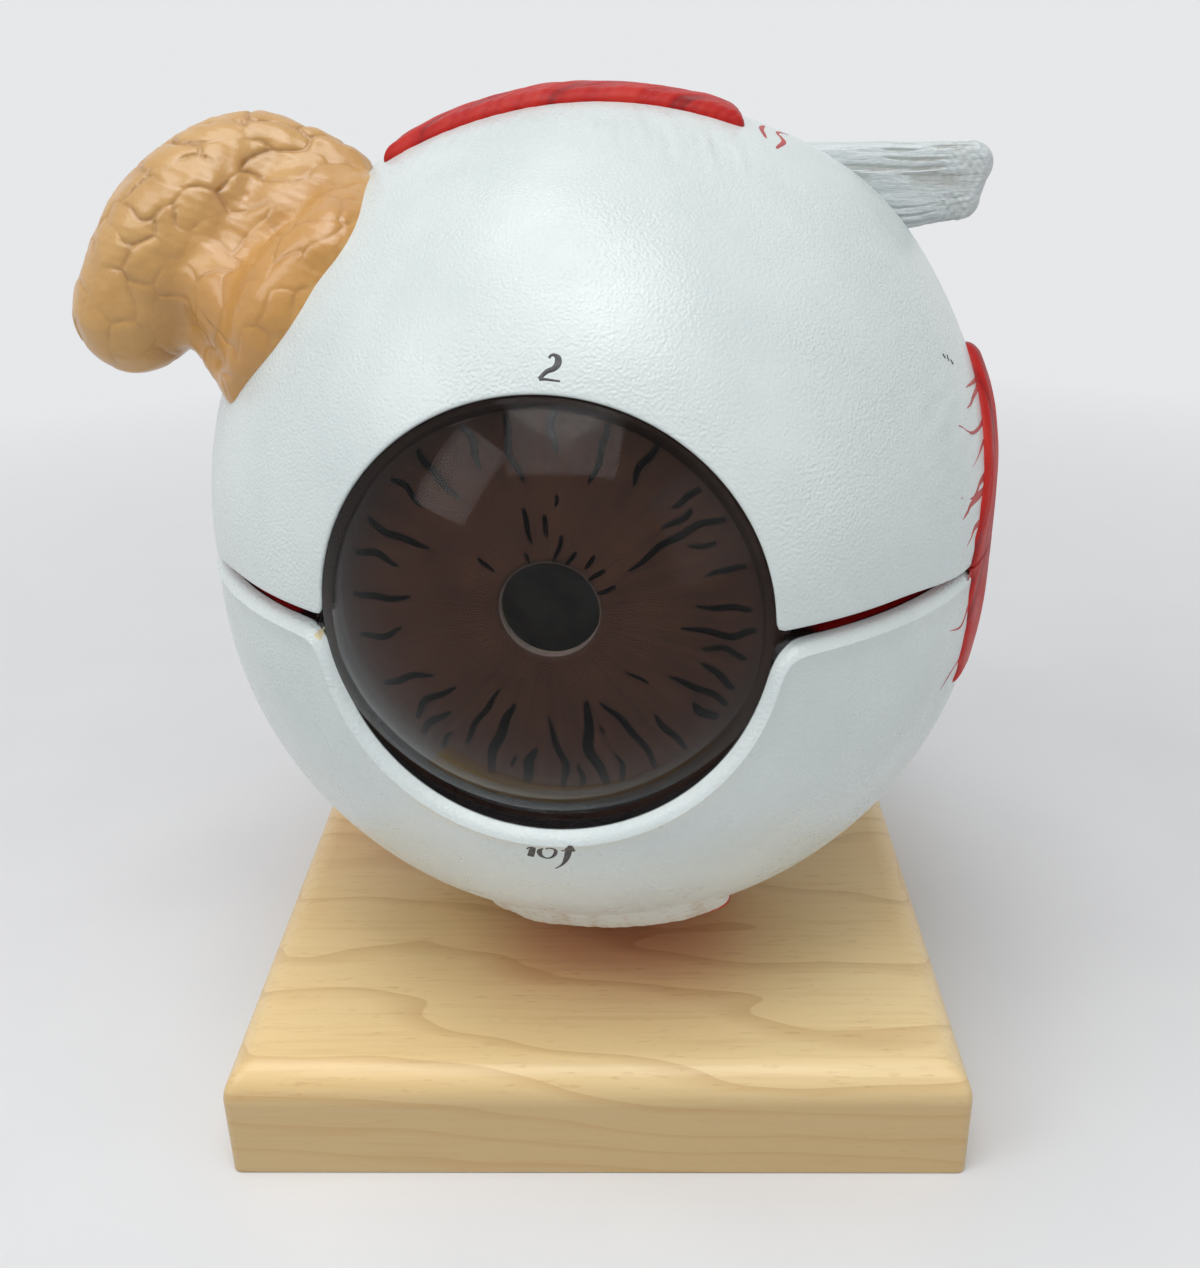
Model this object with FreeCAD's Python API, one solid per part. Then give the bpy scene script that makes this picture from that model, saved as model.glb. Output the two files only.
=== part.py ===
import FreeCAD, Part
import math
import os

Vector = FreeCAD.Vector

# Take-apart model of a right eye on a wooden stand, about five times life size.
# Millimetres. The origin is the middle of the board's underside, +Z is up, and the front of the
# board faces -Y. The stand is drawn about the post's axis. Every piece of the eye is drawn about
# the middle of its cavity with the line of sight along -Y, then turned and lifted on to the post.
# A depth is a distance in front of that middle.

# ---------------------------------------------------------------- driving dimensions: the stand
board_width = 114.3
board_depth = 108.0
board_height = 19.0
board_edge_round = 5.5
board_corner_round = 1.5

eye_stand_off = 4.4          # board's top to the lowest point of the eye
eye_turn = -6.7              # degrees about the post, towards the viewer's left

post_offset = 1.4            # post, right of the board's middle
post_radius = 4.8
post_seat_depth = 8.0        # how far the post is let into the board
post_engagement = 9.8        # how far it stands in the bush
post_end_chamfer = 0.8
post_thread_depth = 13.0
collar_radius = 8.0
washer_radius = 9.0
washer_thickness = 1.0
bush_wall = 2.6
bush_depth = 10.4
bush_flange_radius = 9.5
bush_flange_thickness = 1.2
bush_seat_margin = 0.6       # flat spot under the shell, beyond the bush's flange
running_clearance = 0.05

screw_radius = 2.5
screw_engagement = 11.0
screw_hole_clearance = 0.3
screw_head_radius = 4.8
screw_head_height = 2.8
screw_head_recess = 0.5
screw_socket_across = 3.0
screw_socket_depth = 1.8

# ---------------------------------------------------------------- driving dimensions: the shells
eye_radius = 61.5
dome_drop = 0.6              # centre of the upper dome, under the line of sight
bowl_drop = 7.6              # centre of the lower bowl, under that of the dome
sclera_wall = 4.7            # at the seam
nest_clearance = 0.3         # between one removable layer and the next
choroid_wall = 2.4
vitreous_wall = 2.4
glue_line = 0.05             # between a cemented piece and the shell that carries it

seam_drop = 2.05             # lower lip, below the line of sight
seam_gap = 1.8               # how far the upper lip stands off the lower one at the opening
seam_closed_depth = 27.0     # the lips touch up to this depth
seam_open_depth = 42.0       # and stand the whole gap apart from this depth on
lower_lip_round = 2.0
choroid_seam_drop = 1.1

peg_radius = 1.2
peg_seat = 6.0
peg_stand = 4.0
peg_hole_clearance = 0.15
peg_hole_spare = 0.5
peg_tip_chamfer = 0.5
peg_azimuths = (-145.0, -75.0, 75.0, 145.0)   # degrees from the front

# ---------------------------------------------------------------- driving dimensions: the optics
opening_radius = 29.5
cornea_lip = 2.3             # thickness of the shell's lip in front of the cornea's flange
cornea_flange_reach = 1.8
cornea_flange_thickness = 1.4
cornea_neck_clearance = 0.15
cornea_neck_setback = 0.2    # dome springs this far behind the edge of the opening
cornea_dome_radius = 39.0
cornea_wall = 1.8
flange_play = 0.2

iris_gap = 0.3               # behind the cornea's flange
iris_thickness = 1.8
iris_rise = 0.8              # how far the pupil's margin stands forward of the root
iris_root_radius = 27.3
pupil_radius = 6.6

lens_gap = 0.4               # behind the plane of the iris's rim
lens_radius = 22.0
lens_front_bulge = 6.8
lens_edge = 1.6
lens_back_bulge = 9.2
vitreous_setback = 0.4       # front face of the vitreous body, behind the lens's edge
vent_radius = 2.0

ciliary_front_gap = 1.16     # behind the plane of the iris's rim
ciliary_front_width = 1.5    # its front edge, inside the retina
ciliary_length = 7.0         # front to back, along the line of sight
ciliary_tip_setback = 2.6    # middle of its inner edge, behind the front
ciliary_tip_radius = 23.3
ciliary_tip_land = 2.6
choroid_front_setback = 2.0  # behind the front of the ciliary body

# ---------------------------------------------------------------- driving dimensions: outside
strap_round = 1.1
strap_corner_round = 4.0
strap_split_gap = 0.1

superior_thickness = 2.0
superior_outline = ((-29.0, -13.0), (22.5, -8.0), (17.0, 42.0), (-17.0, 42.0))     # x, y

inferior_thickness = 2.2
inferior_outline = ((-15.5, -42.0), (24.0, -42.0), (21.0, 40.0), (-17.0, 40.0))    # x, y
inferior_post_clearance = 2.5

medial_thickness = 2.0
medial_outline = ((-23.0, -22.0), (-24.0, 1.0), (-13.0, 16.0), (-3.0, 26.0), (42.0, 15.0),
                  (42.0, -17.0))     # y, z
lateral_thickness = 2.0
lateral_outline = ((3.0, -17.0), (3.0, 17.0), (42.0, 14.0), (42.0, -16.0))          # y, z

oblique_thickness = 2.4
oblique_front = 2.0          # y of its front edge
oblique_width = 16.0
oblique_inner_x = -20.0      # where its cut end lies under the eye
oblique_top_z = -23.0        # where it inserts, below the lateral rectus

tendon_inner_inset = 34.5    # from the shell's widest point to its end inside the shell
tendon_outer_inset = 2.3     # from the shell's widest point to its free end
tendon_middle_y = 12.5
tendon_top_drop = 8.7        # below the crown of the shell
tendon_width = 13.0
tendon_thickness = 5.0
tendon_round = 1.8

lobe_line = ((-66.4, -19.0, 32.4), (-58.0, -15.0, 42.8), (-50.5, -9.2, 50.4),
             (-41.9, -9.0, 51.1), (-34.4, -10.2, 50.8))     # balls along the lobe's middle line
lobe_radii = (9.0, 11.7, 9.2, 6.5, 3.8)
web_line = ((-58.0, -15.0, 42.8), (-42.0, -26.0, 31.0))     # from the lobe down to the shell
web_radii = (8.2, 8.0)
saddle_line = ((-47.5, -17.5, 40.0), (-42.5, -15.5, 44.8), (-37.0, -14.0, 47.5))   # valley's floor
saddle_radii = (6.8, 6.4, 5.2)
skirt_line = ((-46.2, -28.6, 24.4), (-39.3, -28.2, 33.0), (-36.0, -26.0, 38.0),
              (-32.4, -25.2, 42.0), (-32.1, -15.6, 46.8))   # inside the shell's edge line
skirt_radii = (4.6, 9.0, 9.0, 7.2, 5.4)

nerve_radius = 8.5
nerve_length = 14.0
nerve_core_radius = 6.2
nerve_core_length = 2.0
nerve_azimuth = 15.0         # degrees from straight back, towards the nose
nerve_lift_clearance = 0.3

# ---------------------------------------------------------------- worked out
far = 4.0 * eye_radius
cavity_radius = eye_radius - sclera_wall
choroid_radius = cavity_radius - nest_clearance
retina_radius = choroid_radius - choroid_wall
vitreous_radius = retina_radius - nest_clearance

dome_z = -dome_drop
bowl_z = -dome_drop - bowl_drop
eye_height = board_height + eye_stand_off - bowl_z + eye_radius
bush_seat_radius = bush_flange_radius + bush_seat_margin
bush_seat_z = bowl_z - math.sqrt(eye_radius ** 2 - bush_seat_radius ** 2)
bush_radius = post_radius + running_clearance + bush_wall

upper_lip_z = -seam_drop + seam_gap
peg_ring_radius = (eye_radius + cavity_radius) / 2.0

opening_depth = math.sqrt(eye_radius ** 2 - opening_radius ** 2)
groove_front = opening_depth - cornea_lip
flange_radius = opening_radius + cornea_flange_reach
groove_radius = flange_radius + nest_clearance
flange_front = groove_front - flange_play
flange_back = flange_front - cornea_flange_thickness
iris_front = flange_back - iris_gap
iris_rim_back = iris_front - iris_rise - iris_thickness
lens_front = iris_rim_back - lens_gap
lens_back = lens_front - lens_front_bulge - lens_edge - lens_back_bulge
lens_back_sphere = (lens_radius ** 2 + lens_back_bulge ** 2) / (2.0 * lens_back_bulge)
vitreous_front = lens_back + lens_back_bulge - vitreous_setback
dish_centre_depth = lens_back + lens_back_sphere
dish_radius = lens_back_sphere + nest_clearance

ciliary_front_depth = iris_rim_back - ciliary_front_gap
ciliary_back_depth = ciliary_front_depth - ciliary_length
ciliary_tip_depth = ciliary_front_depth - ciliary_tip_setback
choroid_front_depth = ciliary_front_depth - choroid_front_setback
ciliary_front_radius = math.sqrt(retina_radius ** 2 - ciliary_front_depth ** 2) - ciliary_front_width

tendon_start = (eye_radius - tendon_inner_inset, tendon_middle_y)
tendon_end = (eye_radius - tendon_outer_inset, tendon_middle_y)
tendon_high_z = eye_radius - tendon_top_drop
tendon_low_z = tendon_high_z - tendon_width


# ---------------------------------------------------------------- drawing helpers
def revolved(edges, axis):
    """Solid of revolution of a closed outline about an axis through the origin."""
    return Part.Face(Part.Wire(edges)).revolve(Vector(0, 0, 0), axis, 360.0)


def chain(points):
    """Straight edges from each point to the next."""
    return [Part.LineSegment(a, b).toShape() for a, b in zip(points, points[1:])]


def arc(start, middle, end):
    """Circular edge through three points."""
    return Part.Arc(start, middle, end).toShape()


def on_axis(radius, depth):
    """Point of an outline that is turned about the line of sight."""
    return Vector(radius, -depth, 0)


def sphere_arc(sphere_radius, centre_depth, start_angle, end_angle):
    """Arc of a sphere on the line of sight; angles are measured from straight ahead."""
    def point(angle):
        return on_axis(sphere_radius * math.sin(angle), centre_depth + sphere_radius * math.cos(angle))
    return arc(point(start_angle), point((start_angle + end_angle) / 2.0), point(end_angle))


def optical_cylinder(radius, back, front):
    """Cylinder about the line of sight between two depths."""
    return Part.makeCylinder(radius, front - back, Vector(0, -back, 0), Vector(0, -1, 0))


def extruded(points, direction):
    """Prism with a polygon as its foot."""
    return Part.Face(Part.makePolygon(list(points) + [points[0]])).extrude(direction)


def space(low, high):
    """Box between two corners."""
    return Part.makeBox(high[0] - low[0], high[1] - low[1], high[2] - low[2], Vector(*low))


def above(z):
    """Everything higher than z."""
    return space((-far, -far, z), (far, far, far))


def below(z):
    """Everything lower than z."""
    return space((-far, -far, -far), (far, far, z))


def edges_where(shape, test):
    """Edges of a shape whose middle point passes a test."""
    found = []
    for edge in shape.Edges:
        middle = edge.valueAt((edge.FirstParameter + edge.LastParameter) / 2.0)
        if test(middle):
            found.append(edge)
    return found


def along(edge, direction):
    """Whether an edge is straight and runs along a direction."""
    first = edge.Vertexes[0].Point
    last = edge.Vertexes[-1].Point
    run = last - first
    return run.Length > 0 and abs(abs(run.normalize().dot(direction)) - 1.0) < 1e-6


# ---------------------------------------------------------------- the stand
def wood_board():
    """Square board with rounded upper edges, let in for the post and drilled for its screw."""
    left = -board_width / 2.0 - post_offset
    board = space((left, -board_depth / 2.0, 0), (left + board_width, board_depth / 2.0, board_height))
    upright = [edge for edge in board.Edges if along(edge, Vector(0, 0, 1))]
    board = board.makeFillet(board_corner_round, upright)
    rim = edges_where(board, lambda p: abs(p.z - board_height) < 1e-6)
    board = board.makeFillet(board_edge_round, rim)
    seat_z = board_height - post_seat_depth
    board = board.cut(Part.makeCylinder(post_radius, post_seat_depth, Vector(0, 0, seat_z)))
    board = board.cut(Part.makeCylinder(screw_radius + screw_hole_clearance, seat_z))
    board = board.cut(Part.makeCylinder(screw_head_radius, screw_head_recess))
    return board.cut(screw_head())


def screw_head():
    """Countersunk head, without its socket."""
    return Part.makeCone(screw_head_radius, screw_radius, screw_head_height,
                         Vector(0, 0, screw_head_recess))


def board_screw():
    """Countersunk socket screw that holds the post from under the board."""
    shank_z = screw_head_recess + screw_head_height
    shank_top = board_height - post_seat_depth + screw_engagement
    screw = screw_head().fuse(Part.makeCylinder(screw_radius, shank_top - shank_z, Vector(0, 0, shank_z)))
    corner = screw_socket_across / math.sqrt(3.0)
    turns = [math.radians(60.0 * i) for i in range(6)]
    hexagon = [Vector(corner * math.cos(a), corner * math.sin(a), screw_head_recess) for a in turns]
    return screw.cut(extruded(hexagon, Vector(0, 0, screw_socket_depth))).removeSplitter()


def support_post():
    """Steel post with a collar that stands on the board."""
    foot = board_height - post_seat_depth
    top = eye_height + bush_seat_z + post_engagement
    collar_top = eye_height + bush_seat_z - bush_flange_thickness - washer_thickness
    post = Part.makeCylinder(post_radius, top - foot, Vector(0, 0, foot))
    rim = edges_where(post, lambda p: abs(p.z - top) < 1e-6)
    post = post.makeChamfer(post_end_chamfer, rim)
    post = post.fuse(Part.makeCylinder(collar_radius, collar_top - board_height, Vector(0, 0, board_height)))
    return post.cut(Part.makeCylinder(screw_radius, post_thread_depth, Vector(0, 0, foot))).removeSplitter()


def thrust_washer():
    """Plastic washer on the post's collar, which the eye turns on."""
    z = eye_height + bush_seat_z - bush_flange_thickness - washer_thickness
    disc = Part.makeCylinder(washer_radius, washer_thickness, Vector(0, 0, z))
    return disc.cut(Part.makeCylinder(post_radius + running_clearance, washer_thickness, Vector(0, 0, z)))


# ---------------------------------------------------------------- the shells
def eyeball(grow=0.0):
    """Outer form of the eye: an upper dome, a short upright band and a lower bowl."""
    r = eye_radius + grow
    diagonal = r * math.sqrt(0.5)
    top = Vector(0, 0, dome_z + r)
    shoulder = Vector(r, 0, dome_z)
    hip = Vector(r, 0, bowl_z)
    foot = Vector(0, 0, bowl_z - r)
    outline = [arc(top, Vector(diagonal, 0, dome_z + diagonal), shoulder)]
    outline += chain([shoulder, hip])
    outline += [arc(hip, Vector(diagonal, 0, bowl_z - diagonal), foot)]
    outline += chain([foot, top])
    return revolved(outline, Vector(0, 0, 1))


def under_upper_lip():
    """Everything under the upper shell's lip, which rises in an S towards the opening."""
    half_run = (seam_open_depth - seam_closed_depth) / 2.0
    half_rise = seam_gap / 2.0
    bend = (half_run ** 2 + half_rise ** 2) / (2.0 * half_rise)
    sag = bend - math.sqrt(bend ** 2 - (half_run / 2.0) ** 2)
    start = Vector(-far, -seam_closed_depth, -seam_drop)
    middle = Vector(-far, -seam_closed_depth - half_run, -seam_drop + half_rise)
    end = Vector(-far, -seam_open_depth, upper_lip_z)
    outline = chain([Vector(-far, far, -seam_drop), start])
    outline += [arc(start, start + Vector(0, -half_run / 2.0, sag), middle)]
    outline += [arc(middle, end + Vector(0, half_run / 2.0, -sag), end)]
    outline += chain([end, Vector(-far, -far, upper_lip_z), Vector(-far, -far, -far),
                      Vector(-far, far, -far), Vector(-far, far, -seam_drop)])
    return Part.Face(Part.Wire(outline)).extrude(Vector(2.0 * far, 0, 0))


def surface_distance(point):
    """How far a point lies outside the eyeball."""
    centre_z = min(max(point.z, bowl_z), dome_z)
    return (point - Vector(0, 0, centre_z)).Length - eye_radius


def on_surface(point):
    """Whether a point lies on the eyeball's outer surface."""
    return abs(surface_distance(point)) < 1e-3


def on_opening(point):
    """Whether a point lies on the wall of the opening for the cornea."""
    return point.y < 0 and abs(math.hypot(point.x, point.z) - opening_radius) < 1e-3


def hollowed(shell):
    """A solid eyeball part with its cavity and the groove for the cornea and the iris."""
    shell = shell.cut(Part.makeSphere(cavity_radius))
    return shell.cut(optical_cylinder(groove_radius, 0.0, groove_front))


def peg_places():
    """Centres of the locating pegs on the lower lip."""
    for azimuth in peg_azimuths:
        a = math.radians(azimuth)
        yield Vector(peg_ring_radius * math.sin(a), -peg_ring_radius * math.cos(a), -seam_drop)


def sclera_lower():
    """Lower half of the white coat, thick at the bottom where the post's bush is let in."""
    shell = eyeball().cut(above(-seam_drop))
    shell = shell.cut(optical_cylinder(opening_radius, 0.0, far))
    lip = edges_where(shell, lambda p: on_surface(p) and (on_opening(p) or abs(p.z + seam_drop) < 1e-6))
    corners = edges_where(shell, lambda p: on_opening(p) and abs(p.z + seam_drop) < 1e-6)
    shell = shell.makeFillet(lower_lip_round, lip + corners)
    shell = hollowed(shell)
    shell = shell.cut(below(bush_seat_z))
    shell = shell.cut(Part.makeCylinder(bush_radius, bush_depth, Vector(0, 0, bush_seat_z)))
    for place in peg_places():
        shell = shell.cut(Part.makeCylinder(peg_radius, peg_seat, place - Vector(0, 0, peg_seat)))
    return shell


def sclera_upper():
    """Upper half of the white coat, which lifts off its pegs."""
    shell = eyeball().cut(under_upper_lip())
    shell = shell.cut(optical_cylinder(opening_radius, 0.0, far))
    shell = hollowed(shell)
    hole_radius = peg_radius + peg_hole_clearance
    for place in peg_places():
        shell = shell.cut(Part.makeCylinder(hole_radius, peg_stand + peg_hole_spare, place))
    return shell


def locating_pegs():
    """Steel pegs pressed into the lower lip, a group of separate solids."""
    pegs = []
    for place in peg_places():
        peg = Part.makeCylinder(peg_radius, peg_seat + peg_stand, place - Vector(0, 0, peg_seat))
        tip = place.z + peg_stand
        rim = edges_where(peg, lambda p: abs(p.z - tip) < 1e-6)
        pegs.append(peg.makeChamfer(peg_tip_chamfer, rim))
    return Part.makeCompound(pegs)


def post_bush():
    """Flanged brass bush let into the bottom of the lower shell."""
    bush = Part.makeCylinder(bush_radius, bush_depth, Vector(0, 0, bush_seat_z))
    flange_z = bush_seat_z - bush_flange_thickness
    bush = bush.fuse(Part.makeCylinder(bush_flange_radius, bush_flange_thickness, Vector(0, 0, flange_z)))
    bore = Part.makeCylinder(post_radius + running_clearance, bush_depth + bush_flange_thickness,
                             Vector(0, 0, flange_z))
    return bush.cut(bore).removeSplitter()


def choroid_half(keep):
    """Half of the dark vascular coat with the retina on its inside."""
    coat = Part.makeSphere(choroid_radius).cut(Part.makeSphere(retina_radius))
    coat = coat.cut(space((-far, -far, -far), (far, -choroid_front_depth, far)))
    return coat.common(keep)


def ciliary_half(keep):
    """Half of the ciliary body, a ring against the choroid's inside in front of the vitreous body."""
    start = math.acos(ciliary_front_depth / retina_radius)
    end = math.acos(ciliary_back_depth / retina_radius)
    rim = sphere_arc(retina_radius, 0.0, start, end)
    rim_front = on_axis(retina_radius * math.sin(start), ciliary_front_depth)
    rim_back = on_axis(retina_radius * math.sin(end), ciliary_back_depth)
    inside = chain([rim_back, on_axis(ciliary_tip_radius, ciliary_tip_depth - ciliary_tip_land / 2.0),
                    on_axis(ciliary_tip_radius, ciliary_tip_depth + ciliary_tip_land / 2.0),
                    on_axis(ciliary_front_radius, ciliary_front_depth), rim_front])
    return revolved([rim] + inside, Vector(0, 1, 0)).common(keep)


# ---------------------------------------------------------------- the optics
def cornea():
    """Clear dome with a short neck and a flange that both sclera halves trap in their groove."""
    neck = opening_radius - cornea_neck_clearance
    bore = neck - cornea_wall
    spring = opening_depth - cornea_neck_setback
    centre = spring - math.sqrt(cornea_dome_radius ** 2 - neck ** 2)
    inner_radius = cornea_dome_radius - cornea_wall
    inner_spring = centre + math.sqrt(inner_radius ** 2 - bore ** 2)
    outside = sphere_arc(cornea_dome_radius, centre, 0.0, math.asin(neck / cornea_dome_radius))
    inside = sphere_arc(inner_radius, centre, math.asin(bore / inner_radius), 0.0)
    foot = chain([on_axis(neck, spring), on_axis(neck, flange_front), on_axis(flange_radius, flange_front),
                  on_axis(flange_radius, flange_back), on_axis(bore, flange_back),
                  on_axis(bore, inner_spring)])
    close = chain([on_axis(0, centre + inner_radius), on_axis(0, centre + cornea_dome_radius)])
    return revolved([outside] + foot + [inside] + close, Vector(0, 1, 0))


def iris_disc():
    """Brown disc, slightly conical, with the pupil in its middle and a flat rim."""
    root_front = iris_front - iris_rise
    outline = [on_axis(pupil_radius, iris_front), on_axis(iris_root_radius, root_front),
               on_axis(flange_radius, root_front), on_axis(flange_radius, root_front - iris_thickness),
               on_axis(iris_root_radius, root_front - iris_thickness),
               on_axis(pupil_radius, iris_front - iris_thickness), on_axis(pupil_radius, iris_front)]
    return revolved(chain(outline), Vector(0, 1, 0))


def lens():
    """Clear lens, flatter in front than behind."""
    front_sphere = (lens_radius ** 2 + lens_front_bulge ** 2) / (2.0 * lens_front_bulge)
    front_angle = math.asin(lens_radius / front_sphere)
    back_angle = math.asin(lens_radius / lens_back_sphere)
    edge_front = lens_front - lens_front_bulge
    edge_back = edge_front - lens_edge
    front = sphere_arc(front_sphere, lens_front - front_sphere, 0.0, front_angle)
    edge = chain([on_axis(lens_radius, edge_front), on_axis(lens_radius, edge_back)])
    back = sphere_arc(lens_back_sphere, dish_centre_depth, math.pi - back_angle, math.pi)
    close = chain([on_axis(0, lens_back), on_axis(0, lens_front)])
    return revolved([front] + edge + [back] + close, Vector(0, 1, 0))


def vitreous_solid(shrink):
    """Ball with a flat front and a dish for the lens, smaller by a wall all round."""
    ball = Part.makeSphere(vitreous_radius - shrink)
    ball = ball.cut(space((-far, -far, -far), (far, -(vitreous_front - shrink), far)))
    return ball.cut(Part.makeSphere(dish_radius + shrink, Vector(0, -dish_centre_depth, 0)))


def vitreous_body():
    """Clear hollow moulding that fills the eye behind the lens, with a vent at its bottom."""
    vent = Part.makeCylinder(vent_radius, vitreous_radius, Vector(0, 0, -vitreous_radius))
    return vitreous_solid(0.0).cut(vitreous_solid(vitreous_wall)).cut(vent)


# ---------------------------------------------------------------- muscles, tendon, gland, nerve
def strap(foot_points, direction, thickness):
    """Muscle strap that lies on the eyeball, under a prism with rounded corners."""
    prism = extruded(foot_points, direction)
    unit = Vector(direction).normalize()
    prism = prism.makeFillet(strap_corner_round, [e for e in prism.Edges if along(e, unit)])
    return eyeball(thickness).cut(eyeball(glue_line)).common(prism)


def softened(piece, thickness):
    """A strap with its outer edges rounded."""
    radius = min(strap_round, thickness / 2.0)
    return piece.makeFillet(radius, edges_where(piece, lambda p: surface_distance(p) > thickness - 1e-3))


def superior_rectus():
    """Red strap over the top of the eye."""
    foot = [Vector(x, y, 0) for x, y in superior_outline]
    return softened(strap(foot, Vector(0, 0, far), superior_thickness), superior_thickness)


def inferior_rectus():
    """Red strap under the eye, cut away round the post."""
    foot = [Vector(x, y, bowl_z) for x, y in inferior_outline]
    piece = strap(foot, Vector(0, 0, -far), inferior_thickness)
    hole = Part.makeCylinder(bush_flange_radius + inferior_post_clearance, far, Vector(0, 0, -far))
    return softened(piece.cut(hole), inferior_thickness)


def side_rectus(outline, side, thickness):
    """The two halves of a strap on one side of the eye, parted at the seam."""
    foot = [Vector(0, y, z) for y, z in outline]
    piece = strap(foot, Vector(side * far, 0, 0), thickness)
    upper = piece.common(above(-seam_drop + strap_split_gap / 2.0))
    lower = piece.common(below(-seam_drop - strap_split_gap / 2.0))
    return upper, lower


def inferior_oblique():
    """Red strap under the outer side of the eye, behind its middle."""
    foot = [Vector(oblique_inner_x, oblique_front, -far), Vector(-far, oblique_front, -far),
            Vector(-far, oblique_front, oblique_top_z), Vector(oblique_inner_x, oblique_front, oblique_top_z)]
    prism = extruded(foot, Vector(0, oblique_width, 0))
    piece = eyeball(oblique_thickness).cut(eyeball(glue_line)).common(prism)
    return softened(piece, oblique_thickness)


def superior_oblique_tendon():
    """Pale flat tendon that leaves the upper shell towards the nose."""
    half = tendon_thickness / 2.0
    foot = [Vector(tendon_start[0], tendon_start[1] - half, tendon_low_z),
            Vector(tendon_end[0], tendon_end[1] - half, tendon_low_z),
            Vector(tendon_end[0], tendon_end[1] + half, tendon_low_z),
            Vector(tendon_start[0], tendon_start[1] + half, tendon_low_z)]
    bar = extruded(foot, Vector(0, 0, tendon_high_z - tendon_low_z))
    bar = bar.makeFillet(tendon_round, bar.Edges)
    return bar.cut(eyeball(glue_line))


def rounded_cone(start, start_radius, end, end_radius):
    """Two balls and the cone that touches both."""
    run = Vector(*end) - Vector(*start)
    lean = math.asin((start_radius - end_radius) / run.Length)

    def around(ball_radius, ball_place, angle):
        return Vector(ball_radius * math.cos(angle), 0, ball_place + ball_radius * math.sin(angle))

    low = around(start_radius, 0, lean)
    high = around(end_radius, run.Length, lean)
    foot = Vector(0, 0, -start_radius)
    top = Vector(0, 0, run.Length + end_radius)
    outline = [arc(foot, around(start_radius, 0, (lean - math.pi / 2.0) / 2.0), low), *chain([low, high])]
    outline += [arc(high, around(end_radius, run.Length, (lean + math.pi / 2.0) / 2.0), top)]
    solid = revolved(outline + chain([top, foot]), Vector(0, 0, 1))
    solid.Placement = FreeCAD.Placement(Vector(*start), FreeCAD.Rotation(Vector(0, 0, 1), run))
    return solid


def bead_row(line, radii):
    """Balls along a line, each joined to the next by a cone."""
    row = rounded_cone(line[0], radii[0], line[1], radii[1])
    for i in range(1, len(line) - 1):
        row = row.fuse(rounded_cone(line[i], radii[i], line[i + 1], radii[i + 1]))
    return row


def around_superior_rectus():
    """Space over the strap and beyond it towards the nose, with a margin at its outer front corner."""
    front = Vector(superior_outline[0][0], superior_outline[0][1], 0)
    back = Vector(superior_outline[3][0], superior_outline[3][1], 0)
    edge = (back - front).normalize()
    outwards = Vector(-edge.y, edge.x, 0)
    corner = front + (outwards - edge) * nest_clearance
    return extruded([corner, corner + edge * far, corner + (edge - outwards) * far, corner - outwards * far],
                    Vector(0, 0, far))


def lacrimal_gland():
    """Tear gland: a bent lobe, a web under it and a skirt that spreads on to the shell."""
    gland = bead_row(lobe_line, lobe_radii)
    for line, radii in ((web_line, web_radii), (saddle_line, saddle_radii), (skirt_line, skirt_radii)):
        gland = gland.fuse(bead_row(line, radii))
    return gland.cut(eyeball(glue_line)).cut(around_superior_rectus()).removeSplitter()


def optic_nerve():
    """Stub of the optic nerve, whose upper half stands clear of the upper shell's way out."""
    a = math.radians(nerve_azimuth)
    direction = Vector(math.sin(a), math.cos(a), 0)
    end = eye_radius + nerve_length
    nerve = Part.makeCylinder(nerve_radius, end, Vector(0, 0, -seam_drop), direction)
    nerve = nerve.fuse(Part.makeCylinder(nerve_core_radius, end + nerve_core_length,
                                         Vector(0, 0, -seam_drop), direction))
    nerve = nerve.cut(eyeball(glue_line))
    way_out = Part.makeCylinder(eye_radius + nerve_lift_clearance, far, Vector(0, 0, -seam_drop))
    return nerve.cut(way_out).removeSplitter()


# ---------------------------------------------------------------- assembly
def placed(shape, turn, height):
    """A copy of a piece, turned about the post, lifted and moved to the post's place."""
    copy = shape.copy()
    copy.rotate(Vector(0, 0, 0), Vector(0, 0, 1), turn)
    copy.translate(Vector(post_offset, 0, height))
    return copy


upper_side = above(-choroid_seam_drop)
lower_side = below(-choroid_seam_drop)
medial_upper, medial_lower = side_rectus(medial_outline, 1.0, medial_thickness)
lateral_upper, lateral_lower = side_rectus(lateral_outline, -1.0, lateral_thickness)

stand_nodes = {
    "wood_board": wood_board(),
    "board_screw": board_screw(),
    "support_post": support_post(),
    "thrust_washer": thrust_washer(),
}
eye_nodes = {
    "sclera_lower": sclera_lower(),
    "post_bush": post_bush(),
    "locating_pegs": locating_pegs(),
    "choroid_lower": choroid_half(lower_side),
    "ciliary_body_lower": ciliary_half(lower_side),
    "inferior_rectus": inferior_rectus(),
    "inferior_oblique": inferior_oblique(),
    "medial_rectus_lower": medial_lower,
    "lateral_rectus_lower": lateral_lower,
    "optic_nerve": optic_nerve(),
    "vitreous_body": vitreous_body(),
    "lens": lens(),
    "iris_disc": iris_disc(),
    "cornea": cornea(),
    "choroid_upper": choroid_half(upper_side),
    "ciliary_body_upper": ciliary_half(upper_side),
    "sclera_upper": sclera_upper(),
    "superior_rectus": superior_rectus(),
    "superior_oblique_tendon": superior_oblique_tendon(),
    "medial_rectus_upper": medial_upper,
    "lateral_rectus_upper": lateral_upper,
    "lacrimal_gland": lacrimal_gland(),
}

os.makedirs("parts", exist_ok=True)
nodes = {name: placed(shape, 0.0, 0.0) for name, shape in stand_nodes.items()}
nodes.update((name, placed(shape, eye_turn, eye_height)) for name, shape in eye_nodes.items())
for name, shape in nodes.items():
    shape.exportStep("parts/" + name + ".step")
    print(name, "solids", len(shape.Solids), "valid", shape.isValid(), "volume", round(shape.Volume, 1))
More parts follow.
